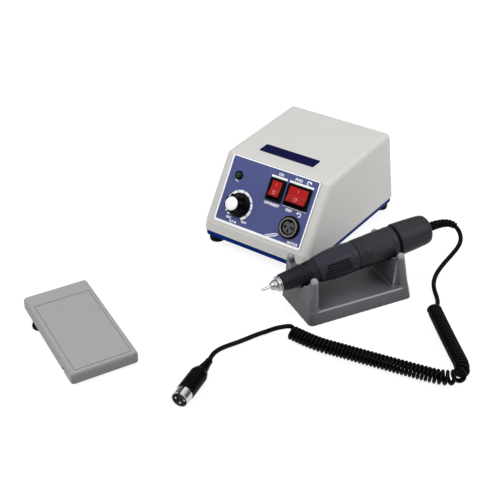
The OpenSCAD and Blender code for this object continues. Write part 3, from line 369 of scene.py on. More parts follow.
def ranged(tree, value, span, start, stop):
    """A value carried from its span to start and stop in a straight line, and held at both ends."""
    node = add_node(tree, "ShaderNodeMapRange", {
        "From Min": span[0], "From Max": span[1], "To Min": start, "To Max": stop})
    tree.links.new(value, node.inputs["Value"])
    return node.outputs["Result"]


def product(tree, vector, other):
    """Dot product of a vector in the tree with another one, or with a fixed direction."""
    node = add_node(tree, "ShaderNodeVectorMath", operation="DOT_PRODUCT")
    tree.links.new(vector, node.inputs[0])
    if isinstance(other, bpy.types.NodeSocket):
        tree.links.new(other, node.inputs[1])
    else:
        node.inputs[1].default_value = tuple(other)
    return node.outputs["Value"]


def geometry(tree, name):
    """One value of the shaded point, such as its normal."""
    return add_node(tree, "ShaderNodeNewGeometry").outputs[name]


def shaded(tree, surface, share):
    """A colour times a share of its light."""
    dark = add_node(tree, "ShaderNodeMix", data_type="RGBA", blend_type="MULTIPLY")
    dark.inputs[0].default_value = 1.0
    tree.links.new(surface, dark.inputs[6])
    tree.links.new(share, dark.inputs[7])
    return dark.outputs[2]


def tinted(tree, surface, share, colour):
    """A colour mixed with a fixed one by a share."""
    lift = add_node(tree, "ShaderNodeMix", data_type="RGBA")
    tree.links.new(share, lift.inputs[0])
    tree.links.new(surface, lift.inputs[6])
    lift.inputs[7].default_value = (*np.minimum(colour, 1), 1)
    return lift.outputs[2]


# Spans and sizes that finish() reads: noise, the painted edge highlight, the painted ridge highlight, the painted
# shade in hollows, the painted shadow from near pieces, the painted shade on one side, and the bump
NOISE_SPAN = (0.3, 0.7)
EDGE_GLINT_SPAN = (0.97, 0.8)
RIDGE_HIGHLIGHT_SPAN = (0.51, 0.521)
HOLLOW_SHADE_SPAN = (0.45, 0.95)
REACH_SHADOW_SPAN = (0.22, 0.74)
SHADED_SIDE_SPAN = (0.1, 0.8)
EDGE_GLINT_WIDTH = 0.0007
HOLLOW_SHADE_REACH = 0.003
FAR_SHADOW_REACH = 0.036
BUMP_HEIGHT = 0.0004


def finish(name, colour, rough, metal=0.0, grain=900.0, mottle=0.05, rough_range=0.08, bump=0.05, bump_scale=2600.0,
           coat=0.0, edge_light=0.0, lines=None, spec=0.5, hollow_shade=0.0, reach_shadow=0.0, ridge_highlight=0.0, run=None, away=None):
    """A moulded, painted or turned finish on Object coordinates: broad noise shifts the colour and the
    roughness, fine noise or lines along an axis give the bump. Painted light may be added: a painted highlight on
    edges and ridges, painted shade in the piece's own hollows, painted shadow where other pieces come close, painted
    shade on faces turned to one side, and painted shade that grows towards one end of a line."""
    if name in bpy.data.materials:
        return bpy.data.materials[name]
    material = bpy.data.materials.new(name)
    tree = empty_tree(material)
    link = tree.links.new
    out = add_node(tree, "ShaderNodeOutputMaterial")
    shader = add_node(tree, "ShaderNodeBsdfPrincipled", {
        "Metallic": metal, "Coat Weight": coat, "Coat Roughness": 0.08, "Specular IOR Level": spec})
    link(shader.outputs["BSDF"], out.inputs["Surface"])
    place = add_node(tree, "ShaderNodeTexCoord").outputs["Object"]
    broad = add_node(tree, "ShaderNodeTexNoise", {"Scale": grain * 0.05, "Detail": 4.0, "Roughness": 0.6})
    fine = add_node(tree, "ShaderNodeTexNoise", {"Scale": grain, "Detail": 2.0})
    link(place, broad.inputs["Vector"])
    link(place, fine.inputs["Vector"])
    c = np.array(colour[:3])
    shade = add_node(tree, "ShaderNodeValToRGB")
    for element, at, side in zip(shade.color_ramp.elements, NOISE_SPAN, (1 - mottle, 1 + mottle)):
        element.position = at
        element.color = (*np.minimum(c * side, 1), 1)
    blend = add_node(tree, "ShaderNodeMix", data_type="FLOAT")
    blend.inputs[0].default_value = 0.4
    link(broad.outputs["Fac"], blend.inputs[2])
    link(fine.outputs["Fac"], blend.inputs[3])
    link(blend.outputs[0], shade.inputs["Fac"])
    surface = shade.outputs["Color"]
    # Painted highlight: where the bevel normal turns away from the true normal, at edges, the colour is lightened
    if edge_light:
        glint_bevel = add_node(tree, "ShaderNodeBevel", {"Radius": EDGE_GLINT_WIDTH}, samples=4)
        turn = product(tree, glint_bevel.outputs["Normal"], geometry(tree, "Normal"))
        surface = tinted(tree, surface, ranged(tree, turn, EDGE_GLINT_SPAN, 0.0, edge_light), c * 1.5 + 0.12)
    # Painted highlight: convex ridges, found by pointiness, are lightened
    if ridge_highlight:
        ridge_glint = ranged(tree, geometry(tree, "Pointiness"), RIDGE_HIGHLIGHT_SPAN, 0.0, ridge_highlight)
        surface = tinted(tree, surface, ridge_glint, c * 2.2 + 0.05)
    # Painted shade: ambient occlusion darkens the piece's own hollows and creases, and painted shadow darkens places
    # close to other pieces
    for depth, near, local, span in ((hollow_shade, HOLLOW_SHADE_REACH, True, HOLLOW_SHADE_SPAN), (reach_shadow, FAR_SHADOW_REACH, False, REACH_SHADOW_SPAN)):
        if depth:
            closed = add_node(tree, "ShaderNodeAmbientOcclusion", {"Distance": near}, samples=6, only_local=local)
            surface = shaded(tree, surface, ranged(tree, closed.outputs["AO"], span, 1 - depth, 1.0))
    # Painted shade and highlight: the colour darkens towards the low end of a line through the object
    if run is not None:
        line, low, high, dark = run
        surface = shaded(tree, surface, ranged(tree, product(tree, place, line), (low, high), dark, 1.0))
    # Painted shade: faces turned towards one side are darkened
    if away is not None:
        side, dark = away
        turn = product(tree, geometry(tree, "Normal"), side)
        surface = shaded(tree, surface, ranged(tree, turn, SHADED_SIDE_SPAN, 1.0, dark))
    link(surface, shader.inputs["Base Color"])
    polish = ranged(tree, broad.outputs["Fac"], NOISE_SPAN, max(rough - rough_range, 0.02), rough + rough_range)
    link(polish, shader.inputs["Roughness"])
    height = add_node(tree, "ShaderNodeTexNoise", {"Scale": bump_scale, "Detail": 3.0, "Roughness": 0.55})
    if lines is not None:
        height.noise_dimensions = "1D"
        link(product(tree, place, lines), height.inputs["W"])
    else:
        link(place, height.inputs["Vector"])
    relief = add_node(tree, "ShaderNodeBump", {"Strength": bump, "Distance": BUMP_HEIGHT})
    link(height.outputs["Fac"], relief.inputs["Height"])
    link(relief.outputs["Normal"], shader.inputs["Normal"])
    return material


def black_gloss():
    """Glossy black moulding of the bezels, the socket and the fuse holder."""
    # Painted highlight on its edges and painted shade in its hollows
    return finish("black_gloss", tone(4, 4, 5), 0.3, grain=1200, mottle=0.12, bump=0.03, edge_light=0.08, spec=0.06,
                  hollow_shade=0.6)


def steel():
    """Turned steel with fine rings across the handpiece's axis."""
    # Painted shade in its hollows
    return finish("turned_steel", tone(176, 176, 178), 0.2, metal=1.0, grain=700, mottle=0.06, bump=0.06,
                  bump_scale=9000, lines=HAND_AXIS, hollow_shade=0.5)


def bright():
    """Plated metal."""
    # Painted shade in its hollows
    return finish("plated_metal", tone(196, 196, 198), 0.14, metal=1.0, grain=600, rough_range=0.06, bump=0.02,
                  hollow_shade=0.6)


def rubber():
    """Black rubber of feet and boot."""
    colour = bpy.context.scene.micromotor_case.feet
    # Painted highlight on its edges and painted shade in its hollows
    return finish("black_rubber", colour, 0.62, grain=1500, mottle=0.15, bump=0.12, edge_light=0.06, spec=0.06,
                  hollow_shade=0.6)


def ink():
    """White print on the film."""
    return finish("print_ink", bpy.context.scene.micromotor_panel.ink, 0.42, grain=1500, mottle=0.02, bump=0.03)


# Stage


def aimed(obj, place, aim):
    """Puts a camera or a lamp in its place and turns it to look at a point."""
    obj.location = place
    obj.rotation_euler = (Vector(aim) - Vector(place)).to_track_quat("-Z", "Y").to_euler()


class MICROMOTOR_OT_stage(bpy.types.Operator):
    """Sets the camera, a pale floor, even light and two soft lamps"""

    bl_idname = "micromotor.stage"
    bl_label = "Stage"

    def execute(self, context):
        s = context.scene.micromotor_stage
        scene = context.scene
        scene.view_settings.view_transform = "Standard"
        camera = placed("camera", bpy.data.cameras.new("camera"))
        camera.data.sensor_width = 36.0
        camera.data.lens = s.lens
        camera.data.clip_start = 0.01
        camera.data.clip_end = 20.0
        aimed(camera, s.eye, s.aim)
        scene.camera = camera
        self.floor(s)
        self.world(scene, s)
        self.lamp("key_lamp", (-0.3, -1.0, 1.35), 1.2, s.key)
        self.lamp("side_lamp", (1.3, 0.2, 1.1), 1.2, s.fill)
        return {"FINISHED"}

    def floor(self, s):
        """A level sheet under the set: x and y run over a square, z stays just under the feet. Seen directly or
        in gloss it glows, so that only the shadows darken it."""
        half, count, drop = 3.0, 7, 0.0003
        line = np.linspace(-half, half, count)
        x, y = np.meshgrid(line, line, indexing="ij")
        mesh = mesh_of("floor", np.stack([x, y, np.full_like(x, -drop)], -1), grid_faces(count, count))
        placed("floor", mesh)
        material = bpy.data.materials.new("pale_floor")
        tree = empty_tree(material)
        matt = add_node(tree, "ShaderNodeBsdfDiffuse", {"Color": (*s.floor, 1)}).outputs[0]
        dim = add_node(tree, "ShaderNodeBsdfDiffuse", {"Color": (0.24, 0.24, 0.24, 1)}).outputs[0]
        glow = add_node(tree, "ShaderNodeEmission", {"Color": (1, 1, 1, 1), "Strength": 0.84}).outputs[0]
        both = fed(tree, "ShaderNodeAddShader", (dim, glow))
        ray = add_node(tree, "ShaderNodeLightPath").outputs
        seen = fed(tree, "ShaderNodeMath", (ray["Is Camera Ray"], ray["Is Glossy Ray"]), operation="MAXIMUM")
        pick = fed(tree, "ShaderNodeMixShader", (seen, matt, both))
        tree.links.new(pick, add_node(tree, "ShaderNodeOutputMaterial").inputs["Surface"])
        painted(mesh, material)

    def world(self, scene, s):
        """Even light from all round. Seen directly or through glass it is white; in gloss it is a studio whose
        brightness follows the height of the direction: dim walls, then a bright ceiling."""
        scene.world = bpy.data.worlds.new("even_light")
        tree = empty_tree(scene.world)
        light = add_node(tree, "ShaderNodeBackground", {"Color": (1, 1, 1, 1), "Strength": s.sky}).outputs[0]
        white = add_node(tree, "ShaderNodeBackground", {"Color": (1, 1, 1, 1), "Strength": 1.0}).outputs[0]
        direction = add_node(tree, "ShaderNodeTexCoord").outputs["Generated"]
        parts = add_node(tree, "ShaderNodeSeparateXYZ")
        tree.links.new(direction, parts.inputs[0])
        ramp = add_node(tree, "ShaderNodeValToRGB")
        ends = ramp.color_ramp.elements
        ends.new(0.5)
        for element, at, level in zip(ends, (0.15, 0.5, 0.75), (0.1, 0.3, 1.25)):
            element.position = at
            element.color = (level, level, level, 1)
        tree.links.new(parts.outputs["Z"], ramp.inputs["Fac"])
        studio = fed(tree, "ShaderNodeBackground", (ramp.outputs["Color"],))
        ray = add_node(tree, "ShaderNodeLightPath").outputs
        direct = fed(tree, "ShaderNodeMath", (ray["Is Camera Ray"], ray["Is Transmission Ray"]), operation="MAXIMUM")
        gloss = fed(tree, "ShaderNodeMixShader", (ray["Is Glossy Ray"], light, studio))
        pick = fed(tree, "ShaderNodeMixShader", (direct, gloss, white))
        tree.links.new(pick, add_node(tree, "ShaderNodeOutputWorld").inputs["Surface"])

    def lamp(self, name, place, size, power):
        """A square soft lamp that looks at the middle of the set."""
        data = bpy.data.lights.new(name, "AREA")
        data.size = size
        data.energy = power
        aimed(placed(name, data), place, (0, 0, 0.03))


# Cord


def cubic(points, t):
    """Points of a chain of cubics: each is the four corner points weighted by the binomial terms of t."""
    p = np.asarray(points, float)
    w = np.stack([(1 - t) ** 3, 3 * (1 - t) ** 2 * t, 3 * (1 - t) * t ** 2, t ** 3], -1)
    return np.einsum("tk,ckd->ctd", w, p).reshape(-1, p.shape[-1])


def unit(v):
    """Vectors scaled to length one."""
    return v / np.linalg.norm(v, axis=-1, keepdims=True)


def headings(path):
    """Direction at each point of a path: the difference of its two neighbours, scaled to one."""
    return unit(np.gradient(path, axis=0))


def coil_centres(c):
    """Centre line of the curls. The coil's axis is a chain of cubics on the table. Turns are shared out by
    the axis length, less at bends and at both ends, and the cord circles the axis at the coil's radius:
    outwards times cosine plus upwards times sine of the turn angle, which starts at the lowest point."""
    route = [[[166, 20], [172, 13], [202, -19], [213, -30]], [[213, -30], [226, -43], [224, -54], [205, -58.5]],
             [[205, -58.5], [181, -64], [147, -70], [122, -75]], [[122, -75], [110, -77], [100, -76], [86, -75.5]]]
    steps, run_out, least = 60, 9.0, 0.14
    axis = np.vstack([cubic(route, np.arange(steps) / steps), route[-1][-1:]])
    leg = np.diff(axis, axis=0)
    step = np.linalg.norm(leg, axis=1)
    along = np.concatenate([[0], np.cumsum(step)])
    turn = np.abs(np.arctan2(leg[:-1, 0] * leg[1:, 1] - leg[:-1, 1] * leg[1:, 0], (leg[:-1] * leg[1:]).sum(1)))
    bend = np.concatenate([[0], turn / (step[:-1] + step[1:]) * 2, [0]])
    mid = (along[:-1] + along[1:]) / 2
    share = least + (1 - least) * smooth_step(np.minimum(mid, along[-1] - mid) / run_out)
    half = c.coil / MM / 2
    weight = step * (1 - (bend[:-1] + bend[1:]) / 2 * half) * share
    turns = np.concatenate([[0], np.cumsum(weight)])
    turns *= c.curls / turns[-1]
    w = np.linspace(0, c.curls, int(round(c.curls * c.rings)) + 1)
    at = np.interp(w, turns, along)
    centre = np.stack([np.interp(at, along, axis[:, k]) for k in (0, 1)], -1)
    ahead = np.gradient(axis, axis=0)
    d = unit(np.stack([np.interp(at, along, ahead[:, k]) for k in (0, 1)], -1))
    a = np.radians(-90 - 360 * w)
    out = np.stack([-d[:, 1] * np.cos(a), d[:, 0] * np.cos(a), np.sin(a)], -1)
    return np.column_stack([centre, np.full(len(w), half)]) + (half - c.diameter / MM / 2) * out, out


class MICROMOTOR_OT_cord(bpy.types.Operator):
    """Lays the cord from the boot through its curls to the plug"""

    bl_idname = "micromotor.cord"
    bl_label = "Cord"

    lead_steps = 24

    def execute(self, context):
        c = context.scene.micromotor_cord
        d = c.diameter / MM
        body, out = coil_centres(c)
        t = headings(body)
        level = np.array([1, 1, 0])
        start, end = unit(t[0] * level), unit(t[-1] * level)
        first, last = body[0] - d * start, body[-1] + d * end
        lead_a = [[[148.8, 86.8, 44], [153, 88.2, 40.3], [157.5, 86, 36], [157, 81, 31]],
                  [[157, 81, 31], [156.4, 75, 25], [149, 66, 16], [149.5, 57, 10]],
                  [[149.5, 57, 10], [150, 48, 4], [157, 44, 2.5], [162, 36.5, 2]],
                  [[162, 36.5, 2], [165, 32, 1.95], [166, 29, 1.95], [166, 23.8, 1.95]]]
        plug = unit(np.array([0.19, -0.98, 0]))
        lead_b = [[last, last + 6 * end, [73, -80, 3.2], [70, -84, 2.4]],
                  [[70, -84, 2.4], [67, -88, 1.95], [65, -94, 1.95], [61, -104, 2]],
                  [[61, -104, 2], [56, -116, 2], [53, -128, 6.5], np.array([59.5, -142, 7.2]) - 0.1 * plug]]
        s = np.arange(self.lead_steps) / self.lead_steps
        into = np.vstack([cubic(lead_a, s), [first]])
        away = np.vstack([[last], cubic(lead_b, s)[1:], [lead_b[-1][3]]])
        path = np.vstack([into, body, away])
        ahead = headings(path)
        side_a = np.broadcast_to([0.87, -0.49, 0.1], into.shape)
        side_b = np.broadcast_to([-0.98, 0.19, 0.0], away.shape)
        across = np.vstack([unit(np.cross(side_a, ahead[:len(into)])), out,
                            unit(np.cross(side_b, ahead[-len(away):]))])
        across = unit(across - (across * ahead).sum(1, keepdims=True) * ahead)
        upward = np.cross(ahead, across)
        n = len(path)
        k = np.arange(n)
        ramp = np.clip(np.minimum(k - len(into), n - len(away) - k) / c.rings, 0, 1)
        wide = d / 2 + (c.flat / MM / 2 - d / 2) * ramp
        section = np.stack([np.full(n, d / 2), wide], -1)[:, None] * circle(c.sides)
        points = (swept(path, across, upward, section) - LAY) * MM
        # Painted shade between the curls
        material = finish("cord_black", c.colour, 0.4, grain=1800, mottle=0.15, bump=0.06, spec=0.08, hollow_shade=0.7)
        cord = piece("curly_cord", points, tube_faces(n, c.sides), "set", material)
        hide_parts("cord_lead_handpiece", "cord_curls", "cord_lead_plug")
        self.boot()
        return {"FINISHED"}

    def boot(self):
        """The ribbed boot: a ring carried along one cubic, its radius falling evenly to the tip, with a
        rounded groove between ribs, a power of the sine of the rib phase."""
        ribs, sides, root, tip = 9, 36, 4.3, 2.9
        start = HAND_O + (HAND_END - HAND_REF) * HAND_AXIS + LAY
        route = [[start, start + 9 * HAND_AXIS, [142.6, 84.7, 49], [148.8, 86.8, 44]]]
        t = np.linspace(0, 1, 181)
        path = np.vstack([[start - 4.5 * HAND_AXIS, start - 3.1 * HAND_AXIS], cubic(route, t)])
        ahead = headings(path)
        ahead[-1] = unit(path[-1] - path[-2])
        across = unit(np.cross(np.array([0.87, -0.49, 0.0]), ahead))
        notch = 0.62 * np.clip(np.sin(2 * math.pi * (ribs * t - 0.28)), 0, 1) ** 0.6
        radius = np.concatenate([[4.2, 4.2], root + (tip - root) * t - notch * (t < 0.985)])
        section = radius[:, None, None] * circle(sides)
        points = (swept(path, across, np.cross(ahead, across), section) - LAY) * MM
        boot = piece("cord_boot_ribbed", points, tube_faces(len(path), sides), "set", rubber())
        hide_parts("cord_boot")


# Control unit


class MICROMOTOR_OT_case(bpy.types.Operator):
    """Finishes the cover, tray, feet, badge plate and rear fittings"""

    bl_idname = "micromotor.case"
    bl_label = "Case"

    def execute(self, context):
        c = context.scene.micromotor_case
        # Painted highlight on the cover's edges
        shell = finish("cover_satin", c.cover, 0.46, grain=700, mottle=0.018, bump=0.06, bump_scale=3200,
                       edge_light=0.1)
        smooth_copy("cover", shell, c.edge, angle=17)
        tray = finish("tray_paint", c.tray, 0.42, mottle=0.06, spec=0.03)
        for node, material, slot, edge in (
                ("base_tray", tray, "tray_blue", 0.0003), ("rubber_feet", rubber(), "rubber_black", 0.0004),
                ("mains_bush", rubber(), "rubber_black", 0.0003),
                ("fuse_holder", black_gloss(), "black_plastic", 0.0003), ("pedal_jack", bright(), "bright", 0.0002)):
            smooth_copy(node, material, edge)
        dress("base_screws", steel())
        self.badge(c)
        return {"FINISHED"}

    def badge(self, c):
        """A bare plate on the top: a round-cornered outline carried through four heights, drawn in at the
        upper edge, on the plane that rises from the top's front edge."""
        width, length, up_slope = 56.6, 12.45, 21.0
        rise = unit(np.array([0, 105.56, 5.0]))
        up = np.array([0, -rise[2], rise[1]])
        front_edge = np.array([-1.3, 36.44, 77.42]) - LAY
        outline = round_outline(width, length, 1.0)
        heights = np.array([0.0, 0.42, 0.6, 0.6])
        shrink = np.array([0.0, 0.0, 0.18, 0.5])
        ring = np.stack([outline * (1 - s / np.array([28.3, 6.2])) for s in shrink])
        level = front_edge + rise * up_slope + heights[:, None, None] * up
        points = (level + ring[..., :1] * PANEL_X + ring[..., 1:] * rise) * MM
        faces = [f[::-1] for f in tube_faces(len(heights), len(outline))]
        # Painted highlight on the plate's edges
        material = finish("badge_lacquer", c.badge, 0.3, mottle=0.08, bump=0.02, spec=0.04, edge_light=0.25)
        piece("badge_plate", points, faces, "set", material, smooth=False)


def letters(text, width, height, u, s, h):
    """Mesh of a line of letters, stretched to a width and height and set with its middle at a panel place:
    font outline x and y become u and s."""
    curve = bpy.data.curves.new("letters", "FONT")
    curve.body = text
    curve.size = 1.0
    curve.offset = 0.036
    curve.resolution_u = 4
    obj = placed("letters", curve)
    mesh = bpy.data.meshes.new_from_object(obj.evaluated_get(bpy.context.evaluated_depsgraph_get()))
    co = np.zeros(len(mesh.vertices) * 3)
    mesh.vertices.foreach_get("co", co)
    co = co.reshape(-1, 3)
    faces = [list(p.vertices) for p in mesh.polygons]
    bpy.data.objects.remove(obj)
    bpy.data.curves.remove(curve)
    bpy.data.meshes.remove(mesh)
    low, high = co.min(0), co.max(0)
    scale = np.array([width, height]) / (high - low)[:2]
    xy = (co[:, :2] - (low + high)[:2] / 2) * scale
    return on_panel(xy + [u, s], h), faces


def band(inner, outer, h):
    """A flat ring or strip between two outlines with the same number of points, h out of the panel."""
    return on_panel(np.stack([outer, inner]), h).reshape(-1, 3)


def arc(u, s, low, high, start, stop, count):
    """Two rows of points on circles about a panel place: radius times cosine and sine of the angle."""
    ring = rays(np.linspace(start, stop, count))
    return np.array([u, s]) + low * ring, np.array([u, s]) + high * ring


def turn_arrow(u, s, size, way):
    """A curved arrow as a strip and a head: an arc of a circle, then a triangle along its last direction."""
    start, stop, count = 90 - way * 190, 90 + way * 40, 24
    hole, middle, half, point = size * np.array([0.6, 0.8, 0.62, 0.95])
    inner, outer = arc(u, s, hole, size, start, stop, count)
    out, ahead = rays(stop), way * rays(stop + 90)
    tip = np.array([u, s]) + middle * out
    head = np.stack([tip + half * out, tip + point * ahead, tip - half * out])
    return inner, outer, head


class MICROMOTOR_OT_panel(bpy.types.Operator):
    """Finishes the overlay and lays its white border, bars, scale and words"""

    bl_idname = "micromotor.panel"
    bl_label = "Panel"

    ink_h = 0.59

    def execute(self, context):
        p = context.scene.micromotor_panel
        dress("panel_overlay", finish("panel_film", p.film, 0.4, grain=1400, mottle=0.03, bump=0.03, spec=0.15))
        self.border(p)
        self.print_marks()
        smooth_copy("lamp_bezel", black_gloss(), 0.00025)
        dress("pilot_lamp", finish("lamp_lens", p.lamp, 0.14, grain=500, mottle=0.25, bump=0.02, spec=0.25))
        return {"FINISHED"}

    def border(self, p):
        """The white border: the strip between the overlay's outline and the same outline drawn in."""
        wide, long, middle, w = 92.2, 62.0, 34.4, p.border / MM
        outer_corner, inner_corner, aside = 2.4, 1.2, 0.1
        outer = round_outline(wide, long, outer_corner) + [0, middle]
        inner = round_outline(wide - 2 * w, long - 2.2 * w, inner_corner) + [aside, middle + 0.35 * w]
        faces = grid_faces(2, len(outer), close_columns=True)[:, ::-1]
        piece("overlay_border", band(inner, outer, self.ink_h) * MM, faces, "set", ink(), smooth=False)

    def print_marks(self):
        """Bars, lines, scale, arrows and words in one mesh of flat ink."""
        points, faces = [], []

        def take(p, f):
            base = sum(len(q) for q in points)
            points.append(np.asarray(p).reshape(-1, 3))
            faces.extend([[base + int(k) for k in one] for one in f])

        def strip(inner, outer):
            take(band(inner, outer, self.ink_h), grid_faces(2, len(inner)))

        for u0, u1, s0, s1 in ((-2.1, 14.2, 56.75, 58.65), (16.5, 41.2, 56.75, 58.65), (16.9, 41.0, 35.75, 36.3)):
            take(on_panel([[u0, s0], [u1, s0], [u1, s1], [u0, s1]], self.ink_h), [[0, 1, 2, 3]])
        low, high, first, apart, wide = 11.2, 13.7, -63.5, 30, 26.5
        for k, thin in enumerate((0.0, 0.0, 0.2, 0.35, 0.2, 0.0, 0.0, 0.0, 0.0, 0.0)):
            start = first + apart * k
            strip(*arc(-24.6, 23.2, low + thin, high - thin * 0.6, start, start + wide, 9))
        for u, s, way in ((35.2, 60.6, -1), (34.9, 32.6, 1)):
            inner, outer, head = turn_arrow(u, s, 2.2, way)
            strip(*(inner, outer)[::way])
            take(on_panel(head, self.ink_h), [[0, 1, 2][::way]])
        self.sign(strip)
        for text, width, height, u, s in (
                ("ON", 5.0, 2.6, 6.6, 60.7), ("OFF/RESET", 15.8, 2.5, 6.2, 33.7), ("FWD", 7.2, 2.6, 25.0, 60.7),
                ("REV", 6.4, 2.6, 24.4, 33.5), ("PL", 3.4, 2.4, -34.3, 43.8), ("MIN", 5.0, 2.2, -31.5, 10.2),
                ("MAX", 5.6, 2.2, -14.7, 10.2), ("R.P.M", 7.0, 2.2, -25.9, 7.6), ("MOTOR", 10.6, 2.4, 37.6, 7.4)):
            take(*letters(text, width, height, u, s, self.ink_h))
        piece("panel_print", np.vstack(points) * MM, faces, "set", ink(), smooth=False)

    def sign(self, strip):
        """Outlined sign of a handpiece beside the socket: half widths along a slanting line, mirrored about it,
        as a strip between that outline and the same outline drawn in, with three lines across."""
        low, along, out = np.array([7.4, 5.0]), np.array([0.926, 0.378]), np.array([-0.378, 0.926])
        t = np.array([0.0, 2.4, 4.6, 12.0, 13.4, 15.0])
        w = np.array([0.2, 0.65, 1.05, 1.2, 0.85, 0.7])
        t, w = np.concatenate([t, t[::-1], t[:1]]), np.concatenate([w, -w[::-1], w[:1]])

        def lay(t, w):
            return low + np.outer(t, along) + np.outer(w, out)

        strip(lay((t - 8) * 0.9 + 8, w * 0.42), lay(t, w * 1.15))
        for at in (4.9, 7.4, 10.6):
            strip(*(lay([edge, edge], [-1.0, 1.0]) for edge in (at, at + 0.3)))


class MICROMOTOR_OT_switches(bpy.types.Operator):
    """Finishes both rocker switches and marks their rockers"""

    bl_idname = "micromotor.switches"
    bl_label = "Switches"

    def execute(self, context):
        p = context.scene.micromotor_panel
        foot, head = (float(on_panel([0, at], 0) @ PANEL_S) * MM for at in (38.5, 47.5))
        # Painted highlight and shade: the red darkens to half towards the rocker's lower end, standing in for a
        # reflection on its upper half; edges get a painted highlight
        red = finish("rocker_gloss", p.rocker, 0.24, grain=700, mottle=0.06, bump=0.02, edge_light=0.12, spec=0.1,
                     run=(PANEL_S, foot, head, 0.5))
        for name, u in (("power", 6.4), ("direction", 28.8)):
            smooth_copy(name + "_switch", black_gloss(), 0.0004)
            smooth_copy(name + "_rocker", red, 0.0004)
            self.marks(name, u)
        return {"FINISHED"}

    def marks(self, name, u):
        """A line and a ring on the two faces of a rocker. A point (x, y) of a face lies on the face's straight
        line from the valley to its end, then turns about the pivot by half the swing and moves to the panel."""
        half, valley, end, above = 6.8, 5.4, 6.5, 0.04
        pivot_s, pivot_h, sides = 46.5, -2.6, 40
        slope = (end - valley) / half
        turn = math.radians(-9)

        def place(xy):
            x, y = np.moveaxis(np.asarray(xy, float), -1, 0)
            z = valley + slope * np.abs(y) + above
            up = pivot_s + y * math.cos(turn) - z * math.sin(turn)
            return on_panel(np.stack([u + x, up], -1), pivot_h + y * math.sin(turn) + z * math.cos(turn))

        line = place([[-0.16, 2.6], [0.16, 2.6], [0.16, 4.9], [-0.16, 4.9]])
        ring = np.array([1.5, 1.2])[:, None, None] * circle(sides) + [0, -3.4]
        pale = finish("rocker_mark", tone(236, 168, 164), 0.4, grain=1500, mottle=0.03, bump=0.03)
        points = np.vstack([line, place(ring).reshape(-1, 3)])
        faces = [[0, 1, 2, 3]] + (grid_faces(2, sides, close_columns=True)[:, ::-1] + 4).tolist()
        piece(name + "_marks", points * MM, faces, name + "_key", pale, smooth=False)


class MICROMOTOR_OT_knob(bpy.types.Operator):
    """Finishes the speed knob, its bright cap and its pointer"""

    bl_idname = "micromotor.knob"
    bl_label = "Knob"

    middle = np.array([-24.4, 23.3])
    mark = 245.0
    sides = 240

    def execute(self, context):
        self.body(context.scene.micromotor_panel)
        white = finish("cap_white", tone(254, 254, 254), 0.2, grain=700, mottle=0.015, bump=0.02, coat=0.3)
        dome = [[0.01, 15.75], [3, 15.7], [5.5, 15.55], [6.0, 15.15], [6.1, 14.2]]
        cap = piece("knob_cap_domed", turned(dome, on_panel(self.middle, 0.0), PANEL_N, PANEL_X),
                    grid_faces(len(dome), 64, close_columns=True), "knob", white)
        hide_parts("knob_cap")
        self.pointer()
        dress("control_shaft", steel())
        dress("control_nut", bright())
        dress("speed_control", finish("control_case", tone(92, 92, 90), 0.4, metal=0.7, grain=500))
        return {"FINISHED"}

    def body(self, p):
        """The lobed body: rows of radius and height, each less its own depth times a round notch between lobes,
        turned round the knob's axis."""
        r = np.array([6.1, 6.2, 7.3, 8.3, 8.9, 9.1, 9.3, 9.5, 10.2, 10.9, 11.0, 11.0])[:, None]
        h = np.array([14.2, 14.6, 14.6, 14.1, 13.2, 10, 6, 3.4, 3.0, 2.5, 2.2, 0.95])[:, None]
        depth = np.array([0, 0, 0.8, 1.5, 1.8, 1.7, 1.2, 0.5, 0, 0, 0, 0])[:, None]
        share = 360 / p.lobes
        b = (np.linspace(0, 360, self.sides, endpoint=False) - self.mark) % share - share / 2
        radius = r - depth * groove(b, share * 0.38)
        points = on_panel(self.middle + radius[..., None] * circle(self.sides), h) * MM
        # Painted highlight on the lobes' edges and painted shade in the notches
        gloss = finish("knob_gloss", tone(4, 4, 5), 0.26, grain=1200, mottle=0.12, bump=0.03, edge_light=0.08,
                       spec=0.06, hollow_shade=0.6)
        faces = grid_faces(len(h), self.sides, close_columns=True)
        body = piece("knob_body", points, faces, "knob", gloss)
        body.data.set_sharp_from_angle(angle=math.radians(38))
        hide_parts("speed_knob")

    def pointer(self):
        """The white pointer: a narrow strip along a ray of the knob, from the cap over the chamfer."""
        out, side = rays(self.mark), rays(self.mark + 90)
        r, h = np.array([6.25, 7.3, 8.3]), np.array([14.64, 14.64, 14.14])
        half = np.array([-0.65, 0.65])
        points = on_panel(self.middle + r[:, None, None] * out + half[None, :, None] * side, h[:, None])
        piece("knob_pointer", points * MM, grid_faces(3, 2), "knob", ink(), smooth=False)


